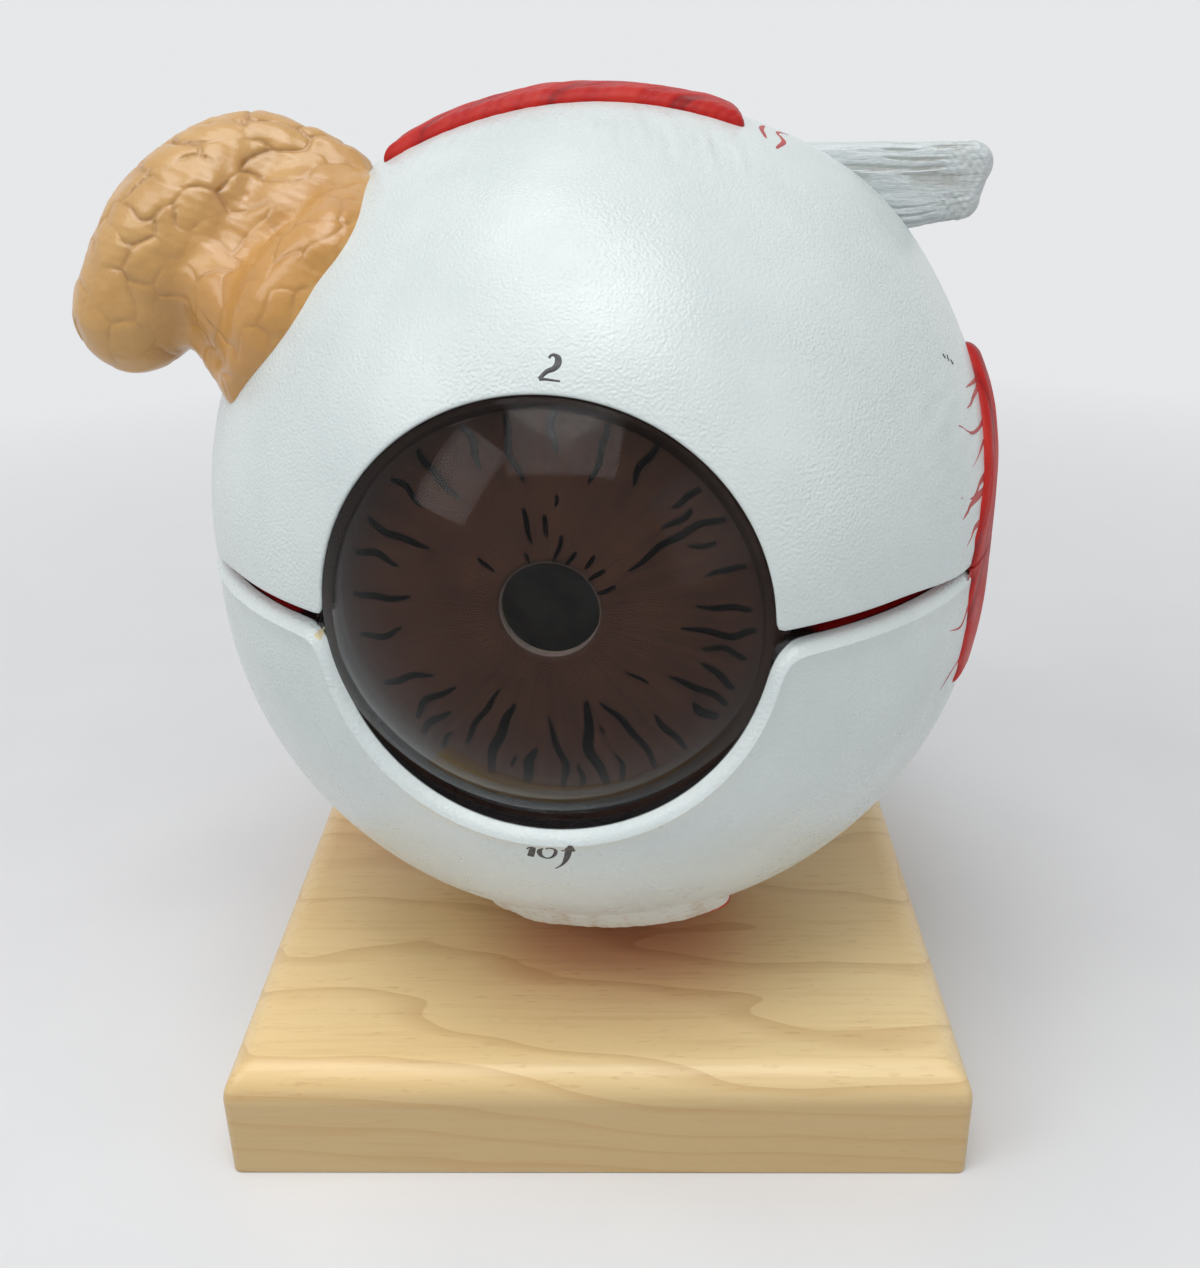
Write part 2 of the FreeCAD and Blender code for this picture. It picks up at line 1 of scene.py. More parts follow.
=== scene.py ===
"""Looks of a take-apart eye model: painted shells, muscles, tear gland, the optics and the stand."""

import logging
import math
from dataclasses import dataclass, field
from enum import Enum
from typing import Dict, List, Optional, Sequence, Tuple

import bpy
import numpy as np
from mathutils import Matrix


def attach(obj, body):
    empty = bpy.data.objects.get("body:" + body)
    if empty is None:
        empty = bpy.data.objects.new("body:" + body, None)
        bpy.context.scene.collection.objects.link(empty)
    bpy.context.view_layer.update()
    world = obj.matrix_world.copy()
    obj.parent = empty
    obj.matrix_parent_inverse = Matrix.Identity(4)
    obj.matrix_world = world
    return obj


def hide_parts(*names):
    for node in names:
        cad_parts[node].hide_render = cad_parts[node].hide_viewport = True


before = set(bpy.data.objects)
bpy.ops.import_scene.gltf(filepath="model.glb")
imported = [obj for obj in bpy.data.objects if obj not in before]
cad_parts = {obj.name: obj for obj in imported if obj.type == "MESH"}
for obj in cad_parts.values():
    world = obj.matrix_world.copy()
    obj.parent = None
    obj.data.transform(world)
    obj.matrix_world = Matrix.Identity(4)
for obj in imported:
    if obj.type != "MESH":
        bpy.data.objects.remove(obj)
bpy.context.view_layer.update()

LOG = logging.getLogger("eye_model")

Array = np.ndarray
Colour = Tuple[float, float, float, float]
Socket = bpy.types.NodeSocket
Triple = Tuple[float, float, float]
Line = Tuple[Tuple[float, ...], ...]


# ---- small numeric tools
def ink(red: float, green: float, blue: float) -> Colour:
    """Turns a colour written as 0 to 255 for a screen into the linear colour a shader takes.

    Args:
        red, green, blue: the screen values.

    Returns:
        The linear colour with an alpha of 1.
    """
    values = np.array([red, green, blue]) / 255.0
    linear = np.where(values <= 0.04045, values / 12.92, ((values + 0.055) / 1.055) ** 2.4)
    return (float(linear[0]), float(linear[1]), float(linear[2]), 1.0)


def ease(values: Array) -> Array:
    """Smooth step: 0 below 0, 1 above 1, and 3t^2 - 2t^3 between."""
    t = np.clip(values, 0.0, 1.0)
    return t * t * (3.0 - 2.0 * t)


def unit(vectors: Array) -> Array:
    """Vectors divided by their lengths along the last axis."""
    return vectors / np.maximum(np.linalg.norm(vectors, axis=-1, keepdims=True), 1e-12)


def blend(a: Array, b: Array, share: Array) -> Array:
    """Straight mix from a to b by a share in 0..1."""
    return a + (b - a) * share


def as_points(*parts: Array) -> Array:
    """Coordinates stretched to one shape and stacked along a new last axis."""
    return np.stack(np.broadcast_arrays(*parts), axis=-1)


def quarter_round(values: Array) -> Array:
    """Height of a quarter circle: 0 below 0, sqrt(1 - (1 - t)^2) between, and 1 above 1."""
    return np.sqrt(1.0 - (1.0 - np.clip(values, 0.0, 1.0)) ** 2)


def bell(points: Array, place: Sequence[float], reach: Sequence[float]) -> Array:
    """Bell of height 1 round a place: exp(-(dx / rx)^2 - (dy / ry)^2 - (dz / rz)^2)."""
    return np.exp(-((points - np.array(place)) ** 2 / np.array(reach) ** 2).sum(axis=-1))


def great_arc(start: Array, end: Array, shares: Array) -> Array:
    """Spherical interpolation between unit vectors.

    Args:
        start: one unit vector (3,), or one for each end (n, 3).
        end: unit vectors (n, 3).
        shares: how far along each row lies (m,).

    Returns:
        Unit vectors (m, n, 3): sin((1-t)a)/sin(a) of the start plus sin(ta)/sin(a) of the end,
        with a the angle between them.
    """
    start = np.broadcast_to(start, end.shape)
    angle = np.arccos(np.clip((start * end).sum(axis=1), -1.0, 1.0))
    sine = np.maximum(np.sin(angle), 1e-9)
    first = np.sin((1.0 - shares)[:, None] * angle) / sine
    last = np.sin(shares[:, None] * angle) / sine
    return first[..., None] * start + last[..., None] * end


def even_loop(loop: Array, count: int) -> Array:
    """A closed line divided into equal runs by its length."""
    closed = np.vstack([loop, loop[:1]])
    run = np.concatenate([[0.0], np.cumsum(np.linalg.norm(np.diff(closed, axis=0), axis=1))])
    at = np.linspace(0.0, run[-1], count, endpoint=False)
    return np.stack([np.interp(at, run, closed[:, i]) for i in range(loop.shape[1])], axis=1)


def blurred_loop(loop: Array, sigma: float) -> Array:
    """A closed, evenly divided line convolved with a bell curve of width sigma."""
    step = np.linalg.norm(np.diff(loop, axis=0), axis=1).mean()
    gain = np.exp(-2.0 * (math.pi * sigma * np.fft.fftfreq(len(loop), d=step)) ** 2)
    return np.fft.ifft(np.fft.fft(loop, axis=0) * gain[:, None], axis=0).real


def flowing_line(points: Array, count: int) -> Array:
    """Catmull-Rom curve through a few points, with equal steps of its parameter.

    Args:
        points: the points it goes through (k, d).
        count: how many points to return.

    Returns:
        Points on the curve (count, d).
    """
    padded = np.vstack([2 * points[0] - points[1], points, 2 * points[-1] - points[-2]])
    at = np.linspace(0.0, len(points) - 1.0, count)
    index = np.minimum(at.astype(int), len(points) - 2)
    t = (at - index)[:, None]
    a, b, c, d = (padded[index + i] for i in range(4))
    return 0.5 * (2 * b + (c - a) * t + (2 * a - 5 * b + 4 * c - d) * t ** 2
                  + (3 * b - a - 3 * c + d) * t ** 3)


def ripple(points: Array, size: float, seed: int) -> Array:
    """Smooth random relief made of ten sine waves in random directions.

    Args:
        points: where it is wanted (..., 3), in millimetres.
        size: the middle wavelength in millimetres.
        seed: which pattern.

    Returns:
        Values of about -1 to 1.
    """
    draw = np.random.default_rng(seed)
    directions = unit(draw.normal(size=(10, 3)))
    waves = 2.0 * math.pi / (size * draw.uniform(0.6, 1.6, 10))
    phases = draw.uniform(0.0, 2.0 * math.pi, 10)
    return np.sin(points @ (directions * waves[:, None]).T + phases).sum(axis=-1) / 4.5


# ---- the eye's own axes
@dataclass(frozen=True)
class EyeForm:
    """Sizes that several pieces share, in millimetres.

    X points to the nose, Y backwards along the line of sight and Z up, and the origin is the
    middle of the cavity. The outside is an upper dome, an upright band and a lower bowl.
    """

    radius: float = 61.5
    dome_z: float = -0.6
    bowl_z: float = -8.2
    cavity: float = 56.8
    seam_z: float = -2.05
    seam_gap: float = 1.8
    gap_closed: float = 25.0
    gap_open: float = 42.0
    opening: float = 29.5
    groove: float = 31.6
    groove_front: float = 51.66
    seat_z: float = -68.87
    turn: float = -6.7
    post_x: float = 1.4
    height: float = 93.1

    def turning(self) -> Array:
        """The matrix that row vectors are multiplied by to turn them from the eye's axes."""
        a = math.radians(self.turn)
        return np.array([[math.cos(a), math.sin(a), 0.0], [-math.sin(a), math.cos(a), 0.0],
                         [0.0, 0.0, 1.0]])

    def to_row(self, points: Array) -> Array:
        """Turns points in the eye's axes and millimetres into the frame's place and metres."""
        return (points @ self.turning() + np.array([self.post_x, 0.0, self.height])) / 1000.0

    def from_row(self, points: Array) -> Array:
        """Turns points in the frame's metres into the eye's axes and millimetres."""
        return (points * 1000.0 - np.array([self.post_x, 0.0, self.height])) @ self.turning().T

    def core(self, points: Array) -> Array:
        """Nearest point of the eye's upright middle line."""
        middle = np.zeros_like(points)
        middle[..., 2] = np.clip(points[..., 2], self.bowl_z, self.dome_z)
        return middle

    def normal(self, points: Array) -> Array:
        """Outward direction of the skin nearest to each point."""
        return unit(points - self.core(points))

    def skin(self, points: Array) -> Array:
        """Points moved on to the outer skin, straight away from the middle line."""
        return self.core(points) + self.normal(points) * self.radius

    def pole(self, side: float) -> Array:
        """Direction of the upper (side 1) or lower (side -1) half's pole; it leans back a little."""
        return unit(np.array([0.0, 0.35, 0.94 * side]))

    def over(self, x: Array, y: Array, side: float) -> Array:
        """Skin points over (side 1) or under (side -1) places in plan."""
        z = np.sqrt(np.maximum(self.radius ** 2 - x ** 2 - y ** 2, 1.0))
        centre = self.dome_z if side > 0 else self.bowl_z
        return as_points(x, y, centre + side * z)

    def reach(self, across: Array, z: Array) -> Array:
        """How far the skin is from the middle, over a place across it and a height."""
        rise = z - np.clip(z, self.bowl_z, self.dome_z)
        return np.sqrt(np.maximum(self.radius ** 2 - across ** 2 - rise ** 2, 1.0))

    def beside(self, y: Array, z: Array, side: float) -> Array:
        """Skin points at the nose's side (side 1) or the temple's, for places seen from there."""
        return as_points(side * self.reach(y, z), y, z)

    def ahead(self, x: Array, z: Array) -> Array:
        """Skin points in front, for places seen along the line of sight."""
        return as_points(x, -self.reach(x, z), z)


EYE = EyeForm()


# ---- surfaces
@dataclass
class Surface:
    """Points and faces of one closed form, in the eye's axes and millimetres."""

    points: Array
    quads: Array
    tris: Array
    notes: Dict[str, Array] = field(default_factory=dict)

    @classmethod
    def grid(cls, rows: Array, first: Optional[Array] = None, last: Optional[Array] = None,
             ring: bool = False) -> "Surface":
        """A grid closed across its rows.

        Args:
            rows: points (m, n, 3); each row is a closed loop of n points.
            first: pole before the first row, or None for no closing fan there.
            last: pole after the last row, or None.
            ring: whether the last row joins the first one, as on a torus.

        Returns:
            The surface, with faces outwards.
        """
        m, n = rows.shape[:2]
        index = np.arange(m * n).reshape(m, n)
        below, above = (index, np.roll(index, -1, axis=0)) if ring else (index[:-1], index[1:])
        quads = np.stack([below, np.roll(below, -1, axis=1), np.roll(above, -1, axis=1), above],
                         axis=-1).reshape(-1, 4)
        points = [rows.reshape(-1, 3)]
        tris = []
        if first is not None:
            pole = np.full(n, m * n)
            points.append(first.reshape(1, 3))
            tris.append(np.stack([pole, np.roll(index[0], -1), index[0]], axis=-1))
        if last is not None:
            pole = np.full(n, m * n + (first is not None))
            points.append(last.reshape(1, 3))
            tris.append(np.stack([pole, index[-1], np.roll(index[-1], -1)], axis=-1))
        caps = np.vstack(tris) if tris else np.zeros((0, 3), int)
        return cls(np.vstack(points), quads, caps).outward()

    @classmethod
    def rod(cls, sections: Array) -> "Surface":
        """Closed sections (m, n, 3) carried along a path, with a fan over each end."""
        return cls.grid(sections, sections[0].mean(axis=0), sections[-1].mean(axis=0))

    @classmethod
    def turned(cls, profile: Array, count: int, first: Optional[float] = None,
               last: Optional[float] = None, ring: bool = False) -> "Surface":
        """A profile turned about the line of sight.

        Args:
            profile: (radius, depth) pairs (m, 2).
            count: points in each ring.
            first, last: depth of the closing point on the axis at each end.
            ring: whether the profile itself is closed.

        Returns:
            The surface.
        """
        angle = np.linspace(0.0, 2.0 * math.pi, count, endpoint=False)
        rows = ring_points(profile[:, :1], profile[:, 1:], angle[None, :])
        ends = [None if depth is None else np.array([0.0, -depth, 0.0]) for depth in (first, last)]
        return cls.grid(rows, ends[0], ends[1], ring)

    @classmethod
    def joined(cls, parts: Sequence["Surface"]) -> "Surface":
        """Several surfaces as one."""
        starts = np.cumsum([0] + [len(part.points) for part in parts[:-1]])
        notes = {name: np.concatenate([part.notes[name] for part in parts]) for name in parts[0].notes}
        return cls(np.vstack([part.points for part in parts]),
                   np.vstack([part.quads + start for part, start in zip(parts, starts)]),
                   np.vstack([part.tris + start for part, start in zip(parts, starts)]), notes)

    def triangles(self) -> Array:
        """Every face as triangles of point numbers."""
        return np.vstack([self.quads[:, [0, 1, 2]], self.quads[:, [0, 2, 3]], self.tris])

    def outward(self) -> "Surface":
        """Turns every face round if the volume they enclose comes out negative."""
        a, b, c = (self.points[self.triangles()[:, i]] for i in range(3))
        if (a * np.cross(b, c)).sum() < 0.0:
            self.quads = self.quads[:, ::-1]
            self.tris = self.tris[:, ::-1]
        return self

    def noted(self, pole: float = 0.0, **notes: Array) -> "Surface":
        """Adds one number for each point, under each name.

        Args:
            pole: the number for the poles, where only the grid's own points are given.
            notes: arrays of the grid's or of all points' numbers, or one number for all.

        Returns:
            The surface itself.
        """
        for name, values in notes.items():
            flat = np.ravel(values)
            if flat.size > 1:
                flat = np.append(flat, np.full(len(self.points) - flat.size, pole))
            self.notes[name] = np.broadcast_to(flat, len(self.points))
        return self

    def to_object(self, name: str, crease: float = 35.0) -> bpy.types.Object:
        """Makes the object that carries this surface.

        Args:
            name: the piece's name.
            crease: edges bent by more than this many degrees stay sharp.

        Returns:
            The object, at the origin, with its place in its mesh.
        """
        mesh = bpy.data.meshes.new(name)
        mesh.from_pydata(EYE.to_row(self.points).tolist(), [], self.quads.tolist() + self.tris.tolist())
        mesh.shade_smooth()
        mesh.set_sharp_from_angle(angle=math.radians(crease))
        for note, values in self.notes.items():
            layer = mesh.attributes.new(note, "FLOAT", "POINT")
            layer.data.foreach_set("value", np.ascontiguousarray(values, dtype=np.float32))
        return put(name, mesh)


def ring_points(radius: Array, depth: Array, angle: Array) -> Array:
    """Points at a radius and an angle round the line of sight; the angle starts at the nose's side."""
    return as_points(radius * np.cos(angle), -depth, radius * np.sin(angle))


def brush(path: Array, normals: Array, half_width: Array, height: float) -> Surface:
    """A brush stroke: a flat oval carried along a line on a surface, half sunk in it.

    Args:
        path: points of its middle line (k, 3).
        normals: the surface's outward direction there (k, 3).
        half_width: half its width at each point (k,).
        height: how far it stands proud.

    Returns:
        The closed stroke: side * w * cos(a) + normal * h * sin(a) round each point.
    """
    along = unit(np.gradient(path, axis=0))
    side = unit(np.cross(along, normals))
    angle = np.linspace(0.0, 2.0 * math.pi, 8, endpoint=False)
    flat = side[:, None, :] * half_width[:, None, None] * np.cos(angle)[None, :, None]
    proud = normals[:, None, :] * height * np.sin(angle)[None, :, None]
    return Surface.rod(path[:, None, :] + flat + proud)


def tapered(count: int, thick: float, start: float = 0.25, end: float = 0.15) -> Array:
    """Half widths of a stroke that swells from its start and thins to its end."""
    t = np.linspace(0.0, 1.0, count)
    swell = np.sin(math.pi * np.clip(t * 0.9 + 0.05, 0.0, 1.0)) ** 0.6
    return thick * (swell + start * (1 - t) ** 4 + end * t ** 4)


def put(name: str, data: bpy.types.ID) -> bpy.types.Object:
    """Makes an object of a mesh, a lamp or a camera and puts it in the scene."""
    thing = bpy.data.objects.new(name, data)
    bpy.context.scene.collection.objects.link(thing)
    return thing


def stand_at(side: Array, up: Array, back: Array, place: Sequence[float]) -> Matrix:
    """The matrix of a lamp or camera at a place, which looks away from its back direction."""
    matrix = np.eye(4)
    matrix[:3, :] = np.stack([side, up, back, np.array(place)], axis=1)
    return Matrix(matrix.tolist())


def bake(piece: bpy.types.Object) -> None:
    """Applies a piece's modifiers and keeps only the result's mesh."""
    shape = piece.evaluated_get(bpy.context.evaluated_depsgraph_get())
    mesh = bpy.data.meshes.new_from_object(shape)
    piece.modifiers.clear()
    old = piece.data
    piece.data = mesh
    bpy.data.meshes.remove(old)
    mesh.name = piece.name


def cut_away(piece: bpy.types.Object, cutters: Sequence[Surface]) -> None:
    """Takes closed forms out of a piece and keeps only the result's mesh.

    Args:
        piece: the piece to cut.
        cutters: what is taken away.
    """
    tool = Surface.joined(cutters).to_object(piece.name + "_cutter")
    modifier = piece.modifiers.new("cut", "BOOLEAN")
    modifier.object = tool
    modifier.solver = "EXACT"
    bake(piece)
    spare = tool.data
    bpy.data.objects.remove(tool)
    bpy.data.meshes.remove(spare)


def drill(place: Array, radius: float, low: float, high: float, count: int = 48) -> Surface:
    """Upright round cutter from z low to z high at a place in plan."""
    angle = np.linspace(0.0, 2.0 * math.pi, count, endpoint=False)
    ring = np.stack([place[0] + radius * np.cos(angle), place[1] + radius * np.sin(angle)], axis=-1)
    rows = np.stack([np.column_stack([ring, np.full(count, z)]) for z in (low, high)])
    return Surface.rod(rows)


# ---- materials
class NodeBench:
    """Adds nodes to one material and wires them to its Principled shader."""

    def __init__(self, name: str) -> None:
        """Starts an empty material.

        Args:
            name: the material's name.
        """
        self.material = bpy.data.materials.new(name)
        self.material.use_nodes = True
        self.tree = self.material.node_tree
        self.tree.nodes.clear()
        self.shader = self.tree.nodes.new("ShaderNodeBsdfPrincipled")
        output = self.tree.nodes.new("ShaderNodeOutputMaterial")
        self.tree.links.new(self.shader.outputs[0], output.inputs["Surface"])
        self.where = self.place()

    def add(self, kind: str, sockets: Dict[str, object], **settings: object) -> bpy.types.Node:
        """Adds a node, sets its settings and wires or sets its inputs.

        Args:
            kind: the node's class name.
            sockets: input name or number to a socket or a plain value.
            settings: properties of the node.

        Returns:
            The node.
        """
        node = self.tree.nodes.new(kind)
        for name, value in settings.items():
            setattr(node, name, value)
        for name, value in sockets.items():
            self.feed(node.inputs[name], value)
        return node

    def feed(self, target: Socket, value: object) -> None:
        """Wires a socket to an input, or sets the input to a plain value."""
        if isinstance(value, Socket):
            self.tree.links.new(value, target)
        else:
            target.default_value = value

    def place(self, scale: Sequence[float] = (1, 1, 1), turn: float = 0.0) -> Socket:
        """The piece's own coordinates in metres, turned in degrees about Z and scaled."""
        source = self.add("ShaderNodeTexCoord", {}).outputs["Object"]
        return self.add("ShaderNodeMapping", {"Vector": source, "Scale": scale,
                                              "Rotation": (0.0, 0.0, math.radians(turn))}).outputs[0]

    def note(self, name: str) -> Socket:
        """A number stored with the mesh's points."""
        return self.add("ShaderNodeAttribute", {}, attribute_name=name).outputs["Fac"]

    def noise(self, scale: float, detail: float = 3.0, rough: float = 0.5,
              at: Optional[Socket] = None) -> Socket:
        """Cloudy noise of 0 to 1, over the piece's own coordinates or the given ones."""
        vector = self.where if at is None else at
        return self.add("ShaderNodeTexNoise", {"Vector": vector, "Scale": scale, "Detail": detail,
                                               "Roughness": rough}).outputs["Fac"]

    def cells(self, scale: float) -> Socket:
        """Distance from the nearest of scattered points."""
        sockets = {"Vector": self.where, "Scale": scale}
        return self.add("ShaderNodeTexVoronoi", sockets).outputs["Distance"]

    def math(self, operation: str, a: object, b: object = 0.0) -> Socket:
        """Arithmetic on one or two numbers."""
        return self.add("ShaderNodeMath", {0: a, 1: b}, operation=operation).outputs[0]

    def times(self, a: object, b: object) -> Socket:
        """Product of two numbers."""
        return self.math("MULTIPLY", a, b)

    def plus(self, a: object, b: object) -> Socket:
        """Sum of two numbers."""
        return self.math("ADD", a, b)

    def ramp(self, value: Socket, stops: Sequence[Tuple[float, Colour]]) -> Socket:
        """Colours between stops."""
        node = self.add("ShaderNodeValToRGB", {"Fac": value})
        elements = node.color_ramp.elements
        for spot, colour in stops[2:]:
            elements.new(spot)
        for element, (spot, colour) in zip(elements, sorted(stops, key=lambda stop: stop[0])):
            element.position = spot
            element.color = colour
        return node.outputs["Color"]

    def span(self, value: Socket, low: float, high: float, out_low: float = 0.0,
             out_high: float = 1.0) -> Socket:
        """A number's range turned into another range, and kept inside it."""
        return self.add("ShaderNodeMapRange", {"Value": value, "From Min": low, "From Max": high,
                                               "To Min": out_low, "To Max": out_high}).outputs[0]

    def mix(self, share: object, a: object, b: object) -> Socket:
        """Mix of two colours."""
        node = self.add("ShaderNodeMix", {0: share}, data_type="RGBA")
        self.feed(node.inputs[6], a)
        self.feed(node.inputs[7], b)
        return node.outputs[2]

    def bump(self, height: Socket, depth: float, under: Optional[Socket] = None) -> Socket:
        """Bent normals for a relief this many metres deep, over a coarser one where given."""
        sockets: Dict[str, object] = {"Height": height, "Distance": depth, "Strength": 1.0}
        if under is not None:
            sockets["Normal"] = under
        return self.add("ShaderNodeBump", sockets).outputs[0]

    def done(self, colour: object, roughness: object, normal: Optional[Socket] = None,
             **plain: object) -> bpy.types.Material:
        """Wires the shader and returns the material.

        Args:
            colour: base colour, a socket or a plain colour.
            roughness: a socket or a number.
            normal: bent normals, if any.
            plain: other inputs by name with underscores for spaces, as plain numbers or colours.

        Returns:
            The material.
        """
        self.feed(self.shader.inputs["Base Color"], colour)
        self.feed(self.shader.inputs["Roughness"], roughness)
        if normal is not None:
            self.feed(self.shader.inputs["Normal"], normal)
        for name, value in plain.items():
            self.shader.inputs[name.replace("_", " ")].default_value = value
        return self.material


@dataclass(frozen=True)
class ShellPaint:
    """Cool white enamel with fine orange peel, a few specks, red parting faces, near-black painted shade on
    the cut faces by the opening, and a worn corner.
    """

    base: Colour = ink(218, 226, 225)
    shade: Colour = ink(208, 217, 216)
    speck: Colour = ink(110, 105, 100)
    parting: Colour = ink(170, 20, 26)
    recess_shade: Colour = ink(22, 21, 22)
    worn: Colour = ink(210, 196, 156)
    gloss: float = 0.3

    def material(self) -> bpy.types.Material:
        """Builds the paint."""
        bench = NodeBench("sclera_white")
        clouds = bench.noise(45.0, 3.0, 0.55)
        colour = bench.mix(bench.span(clouds, 0.35, 0.7), self.base, self.shade)
        dots = bench.cells(90.0)
        rare = bench.span(bench.noise(60.0, 0.0), 0.66, 0.72)
        dot = bench.times(bench.span(dots, 0.035, 0.02), rare)
        colour = bench.mix(dot, colour, self.speck)
        parting = bench.note("parting")
        # Painted shade: parting values near 0.5 turn the cut faces by the opening near black, where the gap
        # lies in shadow; the step from white to red passes through it as a thin dark line.
        colour = bench.mix(bench.span(parting, 0.1, 0.5), colour, self.recess_shade)
        colour = bench.mix(bench.span(parting, 0.5, 1.0), colour, self.parting)
        fray = bench.span(bench.noise(900.0, 3.0), 0.3, 0.7, -0.3, 0.3)
        frayed = bench.plus(bench.note("chip"), fray)
        colour = bench.mix(bench.span(frayed, 0.45, 0.6), colour, self.worn)
        peel = bench.noise(2500.0, 0.0, 0.5)
        peel = bench.times(peel, bench.span(bench.noise(60.0, 1.0), 0.35, 0.65, 0.5, 1.0))
        waves = bench.noise(90.0, 0.0, 0.5)
        normal = bench.bump(waves, 0.0002)
        normal = bench.bump(peel, 0.00013, normal)
        rough = bench.span(bench.noise(260.0, 3.0), 0.3, 0.7, self.gloss - 0.05, self.gloss + 0.08)
        return bench.done(colour, rough, normal, Coat_Weight=0.15, Coat_Roughness=0.18,
                          Specular_IOR_Level=0.45)


@dataclass(frozen=True)
class MuscleFibre:
    """Red muscle with fine fibres along a piece's own grain, and a pale tendon where noted."""

    name: str = "muscle_red"
    base: Colour = ink(170, 22, 20)
    dark: Colour = ink(112, 9, 11)
    bright: Colour = ink(192, 46, 36)
    tendon: Colour = ink(214, 219, 217)
    tendon_line: Colour = ink(198, 190, 180)

    def material(self) -> bpy.types.Material:
        """Builds the paint."""
        bench = NodeBench(self.name)
        fibre = bench.note("fibre")
        cloud = bench.noise(240.0, 3.0, 0.5)
        fine = bench.noise(900.0, 3.0, 0.6)
        level = bench.plus(bench.times(fibre, 0.75), bench.times(cloud, 0.25))
        red = bench.ramp(level, [(0.0, self.dark), (0.3, self.base), (0.9, self.bright)])
        white = bench.ramp(bench.plus(bench.times(fibre, 0.25), bench.times(fine, 0.75)),
                           [(0.32, self.tendon_line), (0.5, self.tendon)])
        fray = bench.span(bench.noise(300.0, 4.0), 0.3, 0.7, -0.15, 0.15)
        share = bench.plus(bench.note("tendon"), fray)
        colour = bench.mix(bench.span(share, 0.35, 0.65), red, white)
        normal = bench.bump(fine, 0.00012)
        return bench.done(colour, bench.span(cloud, 0.3, 0.7, 0.4, 0.54), normal, Specular_IOR_Level=0.2)


@dataclass(frozen=True)
class GlandOchre:
    """Ochre gland with painted shade darkening the cracks between its lobules, and pale web at its edge."""

    base: Colour = ink(186, 138, 74)
    deep: Colour = ink(124, 76, 34)
    warm: Colour = ink(194, 136, 58)
    pale: Colour = ink(204, 160, 94)

    def material(self) -> bpy.types.Material:
        """Builds the paint."""
        bench = NodeBench("gland_ochre")
        cloud = bench.noise(90.0, 4.0, 0.6)
        body = bench.ramp(cloud, [(0.3, self.base), (0.7, self.pale)])
        body = bench.mix(bench.times(bench.note("skirt"), 0.6), body, self.warm)
        # Painted shade in the cracks between lobules.
        colour = bench.mix(bench.times(bench.note("crease"), 0.4), body, self.deep)
        colour = bench.mix(bench.note("web"), colour, self.pale)
        fine = bench.noise(800.0, 3.0, 0.6)
        normal = bench.bump(bench.noise(260.0, 2.0), 0.0003)
        normal = bench.bump(fine, 0.00008, normal)
        return bench.done(colour, bench.span(cloud, 0.3, 0.7, 0.36, 0.5), normal, Coat_Weight=0.5,
                          Coat_Roughness=0.16)


@dataclass(frozen=True)
class TendonWhite:
    """White tendon with grey-tan painted shade in its wrinkles."""

    base: Colour = ink(202, 209, 210)
    tan: Colour = ink(166, 166, 158)

    def material(self) -> bpy.types.Material:
        """Builds the paint."""
        bench = NodeBench("tendon_white")
        patches = bench.span(bench.noise(120.0, 3.0), 0.3, 0.7, 0.2, 1.0)
        # Painted shade: the grey-tan darkens the noted wrinkles, in random patches.
        crease_shade = bench.times(bench.note("crease"), patches)
        colour = bench.mix(crease_shade, self.base, self.tan)
        lines = bench.noise(1.0, 3.0, 0.6, bench.place((80.0, 600.0, 800.0), -EYE.turn))
        colour = bench.mix(bench.span(lines, 0.55, 0.8, 0.0, 0.35), colour, self.tan)
        normal = bench.bump(lines, 0.0004)
        normal = bench.bump(bench.noise(900.0, 2.0), 0.0002, normal)
        return bench.done(colour, 0.42, normal, Coat_Weight=0.1, Coat_Roughness=0.3)


@dataclass(frozen=True)
class NerveYellow:
    """Buff nerve with a paler bundle of fibres at its cut end."""

    base: Colour = ink(214, 186, 112)
    dark: Colour = ink(160, 118, 60)

    def material(self) -> bpy.types.Material:
        """Builds the paint."""
        bench = NodeBench("nerve_yellow")
        cloud = bench.noise(160.0, 4.0)
        level = bench.plus(bench.times(bench.note("crease"), 0.7), bench.span(cloud, 0.35, 0.75, 0.0, 0.3))
        colour = bench.mix(level, self.base, self.dark)
        normal = bench.bump(bench.noise(700.0, 3.0), 0.00012)
        return bench.done(colour, 0.45, normal)


@dataclass(frozen=True)
class CoatRed:
    """Vascular coat: dark red outside and orange retina inside."""

    outside: Colour = ink(150, 22, 24)
    outside_dark: Colour = ink(92, 10, 14)
    inside: Colour = ink(214, 120, 66)
    inside_dark: Colour = ink(190, 92, 50)

    def material(self) -> bpy.types.Material:
        """Builds the paint."""
        bench = NodeBench("choroid_coat")
        cloud = bench.noise(120.0, 5.0, 0.62)
        outer = bench.ramp(cloud, [(0.35, self.outside_dark), (0.62, self.outside)])
        inner = bench.ramp(bench.noise(240.0, 4.0), [(0.35, self.inside_dark), (0.65, self.inside)])
        colour = bench.mix(bench.note("inside"), outer, inner)
        normal = bench.bump(bench.noise(500.0, 3.0), 0.00015)
        return bench.done(colour, 0.5, normal)


@dataclass(frozen=True)
class CiliaryBrown:
    """Dark brown pleated ring."""

    base: Colour = ink(88, 50, 36)
    dark: Colour = ink(34, 20, 18)

    def material(self) -> bpy.types.Material:
        """Builds the paint."""
        bench = NodeBench("ciliary_brown")
        colour = bench.mix(bench.note("crease"), self.base, self.dark)
        normal = bench.bump(bench.noise(600.0, 3.0), 0.00015)
        return bench.done(colour, 0.48, normal)


